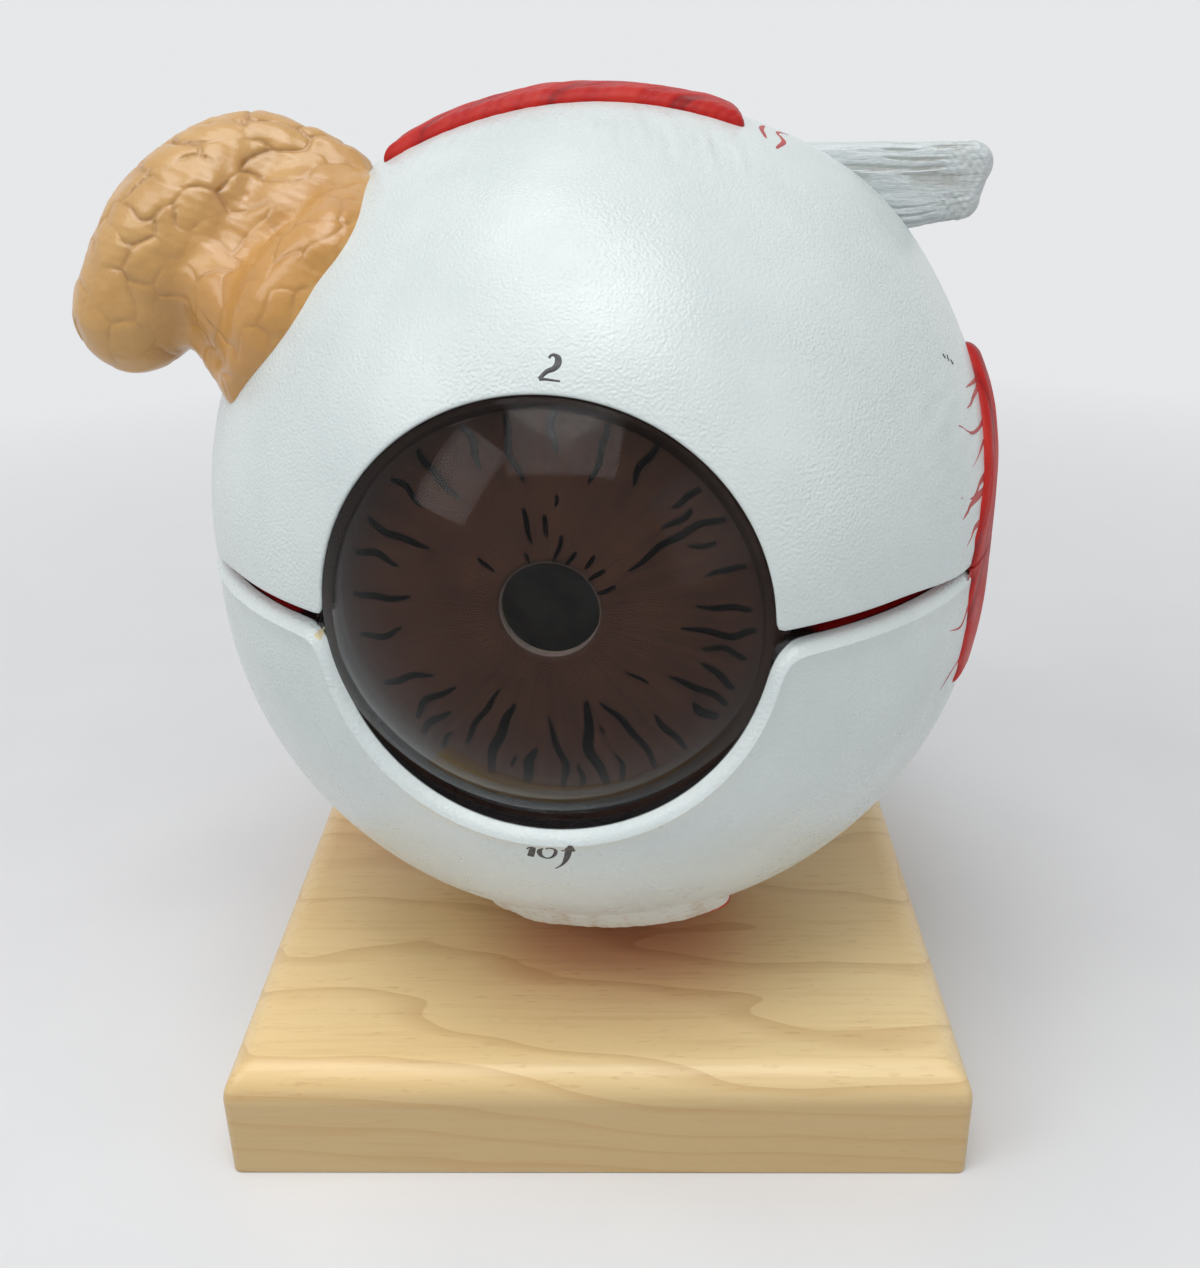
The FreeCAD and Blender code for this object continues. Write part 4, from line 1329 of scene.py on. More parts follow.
# ---- the optics
@dataclass
class Optics:
    """Cornea, iris, lens and vitreous body, turned about the line of sight.

    Depths are ahead of the eye's middle. A stroke of the iris is three pairs of angle in degrees
    and radius, and half its width.
    """

    around: int = 256
    neck: float = 29.35
    bore: float = 27.55
    flange: float = 31.3
    flange_front: float = 51.46
    flange_back: float = 50.06
    spring: float = 53.76
    dome: float = 39.0
    wall: float = 1.8
    iris_front: float = 49.76
    iris_rise: float = 0.8
    iris_thickness: float = 1.8
    iris_root: float = 27.3
    pupil: float = 6.6
    lens_radius: float = 22.0
    lens_front: float = 46.76
    front_bulge: float = 6.8
    lens_edge: float = 1.6
    back_bulge: float = 9.2
    ball: float = 53.8
    ball_wall: float = 2.4
    vitreous_front: float = 37.96
    clearance: float = 0.3
    clear_cornea: ClearAcrylic = ClearAcrylic("cornea_clear", index=1.15, sheen=(1.0, 1.0, 1.0, 1.0))
    clear_lens: ClearAcrylic = ClearAcrylic("lens_clear", (0.93, 0.95, 0.93, 1.0), 0.03,
                                            sheen=(0.06, 0.06, 0.06, 1.0))
    clear_vitreous: ClearAcrylic = ClearAcrylic("vitreous_clear", (0.95, 0.97, 0.97, 1.0), 0.03,
                                                sheen=(0.1, 0.1, 0.1, 1.0))
    stroke_sway: float = 0.8
    stroke_end: float = 26.9
    stroke_height: float = 0.12
    brown: IrisBrown = IrisBrown()
    stroke_ink: BrushInk = BrushInk("iris_strokes", ink(6, 5, 5), ink(12, 10, 9), 0.6, gloss=0.0)
    strokes: Line = (
        (-148, 19.2, -151.5, 22.6, -153.3, 26.1, .5), (-138.2, 17.8, -140.9, 21.9, -138.6, 25.6, .5),
        (-132.1, 21.2, -134.7, 23.9, -133.6, 26.8, .5), (-127.1, 23.7, -127.3, 25.4, -126.7, 26.8, .35),
        (-121.2, 13.9, -122.2, 18.6, -121, 23.9, .4), (-110.4, 14.9, -112.3, 20.3, -110.3, 26.8, .7),
        (-104.2, 22.8, -104.2, 23.7, -104.3, 24.7, .3), (-97.2, 20.9, -99.1, 23.9, -99.3, 26.8, .7),
        (-92.5, 15.9, -87.4, 22.3, -87.8, 26.8, .5), (-82.3, 23.1, -82.2, 25.2, -82.7, 26.8, .4),
        (-70.9, 13.8, -76.5, 20.2, -74.6, 26.8, .75), (-68.6, 22.5, -68.5, 24.8, -69.8, 26.8, .4),
        (-64, 14.6, -58.3, 20, -58.9, 26.8, .5), (-69.4, 17.9, -69.5, 18.6, -69.6, 19.2, .25),
        (-47, 20.1, -47.8, 22.9, -47.8, 26.5, .5), (-33.8, 22.6, -34.7, 24.4, -33.8, 26.5, .65),
        (-29.7, 18, -27.8, 22.7, -29, 26.4, .5), (-19, 20.9, -21.6, 23.9, -23.3, 26.2, .5),
        (-40.6, 13, -38, 14.5, -37.8, 16.3, .25), (-6.3, 17.2, -6.4, 23.4, -4.2, 26.8, .5),
        (3.9, 19.1, 2.5, 23.2, 2, 26.1, .45), (29.3, 12, 33, 19.7, 30.1, 26.1, .5),
        (27.7, 20.2, 26.2, 21.7, 24.7, 23.7, .35), (42.3, 21.4, 41.3, 23.2, 40.9, 25.7, .45),
        (38.5, 18.6, 37, 20.8, 37.7, 23.2, .4), (101.7, 9.4, 102.3, 11.8, 101.8, 14.2, .35),
        (89.4, 10.1, 90.5, 11.6, 91.3, 13.1, .3), (83.3, 6.9, 80.1, 8.7, 79.6, 10.6, .3),
        (69.9, 6.9, 67.2, 7.7, 65.4, 9.1, .3), (50.8, 7.7, 50.5, 8.8, 51.9, 10, .3),
        (40.1, 6.9, 40, 8.1, 39, 9.5, .3), (23, 6.9, 22.7, 8, 23.4, 9.6, .3),
        (85.2, 14.3, 85, 15.1, 85.3, 15.8, .25), (110.3, 6.9, 110.3, 7.8, 110.6, 8.5, .25),
        (143.4, 8.7, 143, 10.1, 142.4, 11.5, .3), (57, 20.5, 58.5, 23.5, 57.6, 26.4, .45),
        (72.5, 18.2, 71, 22.4, 72.2, 26.2, .5), (86, 21, 87.4, 24, 86.6, 26.6, .45),
        (99, 17.6, 101.4, 22, 100.2, 26.4, .5), (113.5, 20.4, 112, 23.6, 113, 26.4, .5),
        (126.5, 18.4, 128.6, 22.6, 127.4, 26.5, .5), (139.6, 21, 138.4, 23.8, 139.2, 26.3, .45),
        (152.4, 17.4, 154.6, 21.8, 153.2, 26.2, .5), (164.8, 20.6, 163.2, 23.4, 164.4, 26.4, .5),
        (176.4, 18.6, 178.2, 22.8, 177, 26.4, .5), (-170.4, 20.4, -168.6, 23.4, -169.8, 26.4, .45),
        (14.6, 20.8, 16.2, 23.4, 15.2, 26.2, .4), (-13.4, 20.4, -12, 23.2, -13.2, 26.3, .4))

    def cap_radius(self, bulge: float) -> float:
        """Radius of the sphere whose cap stands this high over the lens's edge: (r^2 + h^2) / 2h."""
        return (self.lens_radius ** 2 + bulge ** 2) / (2.0 * bulge)

    def lens_bottom(self) -> float:
        """Depth of the lens's rear pole."""
        return self.lens_front - self.front_bulge - self.lens_edge - self.back_bulge

    def cornea(self) -> Surface:
        """Dome, neck and flange as one closed profile of radius and depth."""
        centre = self.spring - math.sqrt(self.dome ** 2 - self.neck ** 2)
        inner = self.dome - self.wall
        outside = np.linspace(0.0, math.asin(self.neck / self.dome), 60)[1:]
        inside = np.linspace(math.asin(self.bore / inner), 0.0, 60)[:-1]
        over = np.stack([self.dome * np.sin(outside), centre + self.dome * np.cos(outside)], axis=-1)
        under = np.stack([inner * np.sin(inside), centre + inner * np.cos(inside)], axis=-1)
        foot = np.array([(self.neck, self.flange_front), (self.flange, self.flange_front),
                         (self.flange, self.flange_back), (self.bore, self.flange_back)])
        profile = np.vstack([over, foot, under])
        return Surface.turned(profile, self.around, centre + self.dome, centre + inner)

    def iris_depth(self, radius: Array) -> Array:
        """Depth of the iris's front at a radius: a shallow cone from the pupil to the root."""
        share = np.clip((radius - self.pupil) / (self.iris_root - self.pupil), 0.0, 1.0)
        return self.iris_front - self.iris_rise * share

    def iris(self) -> Surface:
        """Disc with radial folds: the folds are waves of the angle that wander with the radius."""
        around = 720
        angle = np.linspace(0.0, 2.0 * math.pi, around, endpoint=False)[None, :]
        front_r = np.concatenate([np.linspace(self.pupil, self.pupil + 1.2, 7),
                                  np.linspace(self.pupil + 1.5, self.iris_root, 34),
                                  [self.flange - 0.4, self.flange - 0.1]])[:, None]
        draw = np.random.default_rng(31)
        waves = draw.integers(30, 130, 9)
        folds = sum(np.sin(n * angle + phase + 0.5 * np.sin(front_r / width + phase))
                    for n, phase, width in zip(waves, draw.uniform(0, 6.28, 9), draw.uniform(2.0, 5.0, 9)))
        folds = folds / 9.0
        live = ease((front_r - self.pupil - 0.6) / 2.0) * ease((self.iris_root - front_r) / 1.0)
        edge = 0.35 * ease((self.pupil + 1.0 - front_r) / 1.0) ** 2
        depth = self.iris_depth(front_r) + 0.05 * folds * live - edge
        front = ring_points(np.broadcast_to(front_r, depth.shape), depth, angle)
        rim_r = np.array([self.flange, self.flange, self.iris_root, self.pupil, self.pupil])[:, None]
        root = self.iris_front - self.iris_rise
        rim_d = np.array([root - 0.15, root - self.iris_thickness, root - self.iris_thickness,
                          self.iris_front - self.iris_thickness, self.iris_front - 0.5])[:, None]
        back = ring_points(rim_r, rim_d, angle)
        surface = Surface.grid(np.concatenate([front, back]), ring=True)
        fibre = np.concatenate([(0.5 + 0.9 * folds * live).ravel(), np.full(5 * around, 0.4)])
        rim = ease((front_r - self.iris_root + 1.6) / 1.6) + ease((self.pupil + 1.0 - front_r) / 1.0)
        dark = np.concatenate([np.broadcast_to(rim, folds.shape).ravel(), np.ones(5 * around)])
        # Marks the pupil's edge for its painted highlight.
        lip = (np.abs(np.hypot(surface.points[:, 0], surface.points[:, 2]) - self.pupil) < 0.05).astype(float)
        return surface.noted(fibre=np.clip(fibre, 0.0, 1.0), rim=np.clip(dark, 0.0, 1.0), lip=lip)

    def iris_marks(self) -> Surface:
        """Hand-painted radial strokes; each sways through three points of angle and radius."""
        parts = []
        steps = 32
        for a0, r0, a1, r1, a2, r2, thick in self.strokes:
            line = flowing_line(np.array([(a0, r0), (a1, r1), (a2, r2)]), steps)
            swing = np.sin(np.linspace(0.0, 0.9 * (r2 - r0), steps) + a0)
            sway = self.stroke_sway * swing * np.sin(np.linspace(0.0, math.pi, steps))
            angle, radius = np.radians(line[:, 0] + sway), np.minimum(line[:, 1], self.stroke_end)
            path = ring_points(radius, self.iris_depth(radius) + 0.05, angle)
            facing = np.tile(np.array([0.0, -1.0, 0.0]), (steps, 1))
            parts.append(brush(path, facing, tapered(steps, thick, 0.0, 0.4), self.stroke_height))
        return Surface.joined(parts)

    def lens(self) -> Surface:
        """Two spherical caps and a narrow edge."""
        front, back = self.cap_radius(self.front_bulge), self.cap_radius(self.back_bulge)
        a = np.linspace(0.0, math.asin(self.lens_radius / front), 40)[1:]
        b = np.linspace(math.asin(self.lens_radius / back), 0.0, 40)[:-1]
        bottom = self.lens_bottom()
        over = np.stack([front * np.sin(a), self.lens_front - front * (1 - np.cos(a))], axis=-1)
        under = np.stack([back * np.sin(b), bottom + back * (1 - np.cos(b))], axis=-1)
        return Surface.turned(np.vstack([over, under]), self.around, self.lens_front, bottom)

    def hollow_profile(self, shrink: float) -> Array:
        """Outline of the vitreous body, smaller by a wall: dish, flat front and ball."""
        back = self.cap_radius(self.back_bulge)
        dish, centre = back + self.clearance + shrink, self.lens_bottom() + back
        ball, flat = self.ball - shrink, self.vitreous_front - shrink
        lip = math.sqrt(dish ** 2 - (centre - flat) ** 2)
        a = np.linspace(0.0, math.asin(lip / dish), 40)
        b = np.linspace(math.acos(flat / ball), math.pi, 90)[:-1]
        bowl = np.stack([dish * np.sin(a), centre - dish * np.cos(a)], axis=-1)[1:]
        skin = np.stack([ball * np.sin(b), ball * np.cos(b)], axis=-1)
        return np.vstack([bowl, skin])

    def vitreous(self) -> Surface:
        """Hollow body: an outer skin, and an inner skin whose faces point into the hollow."""
        outer = self.hollow_profile(0.0)
        inner = self.hollow_profile(self.ball_wall)
        dish = self.lens_bottom() - self.clearance
        outside = Surface.turned(outer, self.around, dish, -self.ball)
        inside = Surface.turned(inner, self.around, dish - self.ball_wall, -(self.ball - self.ball_wall))
        inside.quads, inside.tris = inside.quads[:, ::-1], inside.tris[:, ::-1]
        return Surface.joined([outside, inside])

    def build(self) -> None:
        """Makes the four optical pieces and the iris's strokes."""
        cornea = self.cornea().to_object("cornea_dome", 40.0)
        cornea.visible_shadow = False
        fit_piece(cornea, Body.CORNEA, self.clear_cornea, ["cornea"])
        iris = self.iris().to_object("iris_disc_face", 50.0)
        fit_piece(iris, Body.IRIS, self.brown, ["iris_disc"])
        marks = self.iris_marks().to_object("iris_brush_strokes")
        fit_piece(marks, Body.IRIS, self.stroke_ink)
        lens = self.lens().to_object("crystalline_lens", 40.0)
        fit_piece(lens, Body.VITREOUS, self.clear_lens, ["lens"])
        vitreous = self.vitreous().to_object("vitreous_moulding", 40.0)
        fit_piece(vitreous, Body.VITREOUS, self.clear_vitreous, ["vitreous_body"])


# ---- muscles
class Lie(Enum):
    """Which side of the eye a strap lies on."""

    OVER = "over"
    UNDER = "under"
    NOSE = "nose"
    TEMPLE = "temple"


@dataclass
class Strap:
    """One muscle strap: a rounded outline in plan that lies on the shell.

    Args:
        name, lie, body, replaces: the piece, the side it lies on, its body and its CAD node.
        outline: corners in the two plan axes of its side.
        thickness: height of its middle.
        grain: direction of its fibres in degrees from the first plan axis.
        cut: lower and upper limit of the second plan axis, where the strap is cut off square.
        hole: radius of a round hole about the origin of the plan, or 0.
        pale: second plan axis where the red ends and where the tendon is white, or None.
        corner: width of the blur that rounds the outline.
        front, feather, teeth: place of its front edge, length of that edge's slope, its jagging.
        fold, merge: height of its fibres, and how softly the front slope starts.
        taper: second plan axis from where it is thin to where it has its full height, or None.
        around, rows, sink: points round it, rows across it, and its depth in the shell.
    """

    name: str
    lie: Lie
    outline: Line
    thickness: float
    grain: float
    body: Body
    replaces: str
    cut: Tuple[float, float] = (-200.0, 200.0)
    hole: float = 0.0
    pale: Optional[Tuple[float, float]] = None
    corner: float = 2.2
    front: float = -100.0
    feather: float = 2.5
    teeth: float = 0.0
    fold: float = 0.4
    merge: float = 0.0
    taper: Optional[Tuple[float, float]] = None
    around: int = 520
    rows: int = 64
    sink: float = 0.25

    def clipped(self) -> Tuple[Array, Array]:
        """The outline cut square at its limits, with how square each fine point's edge is."""
        points = np.array(self.outline, dtype=float)
        count = len(points)
        fine = np.concatenate([blend(points[i], points[(i + 1) % count], np.linspace(0, 1, 400)[:-1, None])
                               for i in range(count)])
        fine = blurred_loop(even_loop(fine, 3000), self.corner)
        place = as_points(fine[:, 0], fine[:, 1], 0.0)
        fine[:, 0] += self.teeth * ripple(place, 3.4, 17) * ease(1.0 - (fine[:, 0] - self.front) / 12.0)
        low, high = self.cut
        fine[:, 1] = np.clip(fine[:, 1], low, high)
        moved = np.linalg.norm(np.roll(fine, -1, axis=0) - fine, axis=1) > 1e-9
        loop = even_loop(fine[moved], self.around)
        square = (np.abs(loop[:, 1] - low) < 1e-3) | (np.abs(loop[:, 1] - high) < 1e-3)
        return loop, square

    def lay(self, plan: Array) -> Array:
        """Skin points for places in this side's plan."""
        a, b = plan[..., 0], plan[..., 1]
        side = 1.0 if self.lie in (Lie.OVER, Lie.NOSE) else -1.0
        return (EYE.over if self.lie in (Lie.OVER, Lie.UNDER) else EYE.beside)(a, b, side)

    def fibres(self, plan: Array) -> Array:
        """Height pattern of the fibres, 0 to 1: bent ridges along the grain, of two sizes."""
        a = math.radians(self.grain)
        along = plan @ np.array([math.cos(a), math.sin(a)])
        across = plan @ np.array([-math.sin(a), math.cos(a)])
        flat = as_points(along / 7.0, across, 0.0)
        folds = ripple(flat, 3.2, 3) + 0.6 * ripple(flat, 1.5, 8)
        return np.clip(0.5 + 0.42 * folds, 0.0, 1.0)

    def surface(self) -> Surface:
        """Rows from the middle (or the hole) to the rim on top, and back underneath."""
        loop, square = self.clipped()
        along = unit(np.roll(loop, -1, axis=0) - np.roll(loop, 1, axis=0))
        outwards = np.stack([along[:, 1], -along[:, 0]], axis=-1)
        middle = loop.mean(axis=0)
        outwards = outwards * np.sign(((loop - middle) * outwards).sum(axis=1).mean())
        start = np.tile(middle, (len(loop), 1))
        if self.hole:
            start = unit(loop) * self.hole
        run = np.abs(((loop - start) * outwards).sum(axis=1))
        share = 1.0 - (1.0 - np.linspace(0.0, 1.0, self.rows)) ** 1.8
        plan = start + (loop - start) * share[:, None, None]
        inside = run * (1.0 - share)[:, None]
        front = loop[:, 0 if self.lie in (Lie.NOSE, Lie.TEMPLE) else 1] - self.front
        near = ease(1.0 - front / (4.0 + self.feather))
        reach = np.where(square, 0.25, blend(1.25 * self.thickness, self.feather, near))
        inner = np.clip(inside / reach, 0.0, 1.0)
        rise = blend(quarter_round(inner), ease(inner), self.merge * near)
        if self.hole:
            rise = rise * quarter_round((np.linalg.norm(plan, axis=-1) - self.hole) / 0.4)
        swell = 1.0 + 0.05 * ripple(as_points(plan[..., 0], plan[..., 1], 0.0), 14.0, 12)
        if self.taper is not None:
            thin, full = self.taper
            swell = swell * (0.3 + 0.7 * ease((plan[..., 1] - thin) / (full - thin)))
        folds = self.fold * (self.fibres(plan) - 0.5) * np.clip(swell, 0.0, 1.0)
        height = rise * ((self.thickness - 0.4) * swell + folds)
        skin = self.lay(plan)
        normal = EYE.normal(skin)
        top = skin + normal * (height - (1.0 - rise) * self.sink)[..., None]
        back = np.linspace(0.85, 0.0, 7)
        under_plan = start + (loop - start) * back[:, None, None]
        under_skin = self.lay(under_plan)
        under = under_skin - EYE.normal(under_skin) * self.sink
        if self.hole:
            surface = Surface.grid(np.concatenate([top, under[:-1]]), ring=True)
        else:
            surface = Surface.grid(np.concatenate([top[1:], under[:-1]]), top[0, 0], under[-1, 0])
        where = np.concatenate([plan if self.hole else plan[1:], under_plan[:-1]])
        fibre = self.fibres(where)
        tendon = np.zeros(fibre.shape)
        if self.pale is not None:
            red, white = self.pale
            tendon = ease((where[..., 1] - red) / (white - red))
        return surface.noted(fibre[0, 0], fibre=fibre).noted(tendon[0, 0], tendon=tendon)

    def build(self, finish: MuscleFibre) -> None:
        """Makes the strap and puts it on its body."""
        piece = self.surface().to_object(self.name, 60.0)
        fit_piece(piece, self.body, finish, [self.replaces])


@dataclass
class Muscles:
    """The six muscles; the two at the sides are parted at the seam."""

    finish: MuscleFibre = MuscleFibre()
    seam: float = 0.05

    def straps(self) -> List[Strap]:
        """Every strap with its outline."""
        medial = ((-23.0, -22.0), (-24.0, 1.0), (-13.0, 16.0), (-3.0, 26.0), (42.0, 15.0), (42.0, -17.0))
        lateral = ((3.0, -17.0), (3.0, 17.0), (42.0, 14.0), (42.0, -16.0))
        inferior = ((-11.0, -42.0), (20.0, -42.0), (24.0, -33.0), (21.0, 40.0), (-17.0, 40.0), (-15.0, -33.0))
        superior = ((-29.0, -13.0), (22.5, -8.0), (17.0, 42.0), (-17.0, 42.0))
        straps = [
            Strap("superior_rectus_strap", Lie.OVER, superior, 2.0, 62.0, Body.SCLERA_UPPER,
                  "superior_rectus", corner=1.2),
            Strap("inferior_rectus_strap", Lie.UNDER, inferior, 2.2, 88.0, Body.EYE_LOWER,
                  "inferior_rectus", hole=12.0, pale=(-29.0, -33.0), front=-42.0, feather=9.0,
                  fold=0.2, merge=1.0, corner=4.0)]
        medial_edge = {"front": -24.0, "feather": 2.0, "teeth": 0.5, "taper": (-2.0, 20.0)}
        sides = (("medial_rectus_", Lie.NOSE, medial, 58.0, medial_edge),
                 ("lateral_rectus_", Lie.TEMPLE, lateral, 4.0, {}))
        halves = (("upper", Body.SCLERA_UPPER, (EYE.seam_z + self.seam, 200.0)),
                  ("lower", Body.EYE_LOWER, (-200.0, EYE.seam_z - self.seam)))
        for muscle, lie, outline, grain, edge in sides:
            for half, body, cut in halves:
                node = muscle + half
                straps.append(Strap(node + "_strap", lie, outline, 2.0, grain, body, node, cut, **edge))
        return straps

    def oblique(self) -> Surface:
        """Inferior oblique: a band round the eye under its outer side.

        The first parameter goes round the eye in the upright plane, the second across the band;
        its height is a rounded box over the skin, with fibres along it.
        """
        front, width, thickness, sink = 2.0, 16.0, 2.4, 0.25
        top_z, bottom_x = -23.0, 20.0
        start = math.asin((top_z - EYE.bowl_z) / EYE.radius)
        end = -math.acos(bottom_x / EYE.radius)
        turn = np.linspace(start, end, 160)[:, None]
        section = np.linspace(0.0, 1.0, 60)[None, :]
        y = front + width * section
        reach = np.sqrt(EYE.radius ** 2 - y ** 2)
        skin = as_points(-reach * np.cos(turn), y, EYE.bowl_z + reach * np.sin(turn))
        arc = EYE.radius * np.abs(turn - start)
        last = EYE.radius * abs(end - start)
        across = np.minimum(section, 1.0 - section) * width
        lengthwise = np.minimum(arc, last - arc)
        rise = 1.0
        for distance in (across, lengthwise):
            rise = rise * quarter_round(distance / 2.0)
        wander = 0.6 * ripple(as_points(arc, y, 0.0), 12.0, 5)
        fibre = 0.6 * (0.5 + 0.5 * np.sin(2.0 * math.pi * (y + wander) / 2.6)) \
            + 0.4 * (0.5 + 0.5 * np.sin(2.0 * math.pi * (y + 1.7 * wander) / 1.05))
        height = rise * (thickness - 0.3 + 0.3 * (fibre - 0.4)) - (1.0 - rise) * sink
        top = skin + EYE.normal(skin) * height[..., None]
        under = skin - EYE.normal(skin) * sink
        surface = Surface.rod(np.concatenate([top, under[:, ::-1]], axis=1))
        return surface.noted(0.5, fibre=np.concatenate([fibre, fibre[:, ::-1]], axis=1), tendon=0.0)

    def build(self) -> None:
        """Makes every muscle."""
        for strap in self.straps():
            strap.build(self.finish)
        oblique = self.oblique().to_object("inferior_oblique_band", 60.0)
        fit_piece(oblique, Body.EYE_LOWER, self.finish, ["inferior_oblique"])


# ---- tendon, gland and nerve
@dataclass
class PulleyTendon:
    """Flat tendon of the superior oblique, a wrinkled bar that leaves the shell towards the nose."""

    start_x: float = 27.0
    end_x: float = 59.2
    middle_y: float = 12.5
    low_z: float = 39.8
    high_z: float = 52.8
    thickness: float = 5.0
    corner: float = 3.2
    rise: float = 1.6
    slant: float = 1.5
    finish: TendonWhite = TendonWhite()

    def surface(self) -> Surface:
        """A superellipse section carried along X, with lengthwise wrinkles and a rounded end."""
        turn = np.linspace(0.0, 2.0 * math.pi, 240, endpoint=False)[None, :]
        tip = 1.0 - 0.1 * np.linspace(0.95, 0.0, 30) ** 2
        run = np.concatenate([np.linspace(0.0, 0.9, 90), tip])[:, None]
        x = blend(self.start_x, self.end_x, run)
        left = self.end_x - x
        close = np.sqrt(np.clip(1.0 - (1.0 - np.clip(left / 1.6, 0.0, 1.0)) ** 2, 0.02, 1.0))
        half_y, half_z = self.thickness / 2.0, (self.high_z - self.low_z) / 2.0
        bevel = 1.0 - np.clip(left / self.corner, 0.0, 1.0)
        rounded = self.corner * (1.0 - np.sqrt(1.0 - bevel ** 2))
        cos, sin = np.cos(turn), np.sin(turn)
        y = half_y * np.sign(cos) * np.abs(cos) ** 0.55
        z = half_z * np.sign(sin) * np.abs(sin) ** 0.42
        fold = ripple(as_points(x * 0.09, 0.8 * y, z + 0.5 * np.sin(x / 6.0)), 1.25, 27)
        crease = ease((-0.1 - fold) / 0.4) * ease((x - 34.0) / 6.0) * ease((61.0 - x) / 10.0)
        pits = ripple(as_points(x, y, z), 1.1, 23) * ease((x - 46.0) / 8.0)
        shrink = (-0.2 * crease + 0.1 * pits) * ease((left - 0.4) / 2.0)
        low = ease((7.0 - z) / 13.0)
        level = (self.low_z + self.high_z) / 2.0 + z * (1.0 - rounded / half_z) * (1.0 + shrink / half_z) \
            + self.rise * low * ease((x - 43.0) / 14.0)
        slant = self.slant * low * ease((x - 48.0) / 9.0)
        points = as_points(x - slant, self.middle_y + y * close * (1.0 + shrink / half_y), level)
        # Painted shade for the wrinkles and, towards the end, the pits.
        crease_shade = np.clip(0.7 * crease + 0.45 * ease((x - 48.0) / 9.0) * (0.5 - pits), 0.0, 1.0)
        return Surface.rod(points).noted(crease=crease_shade)

    def build(self) -> None:
        """Makes the tendon."""
        piece = self.surface().to_object("pulley_tendon")
        fit_piece(piece, Body.SCLERA_UPPER, self.finish, ["superior_oblique_tendon"])


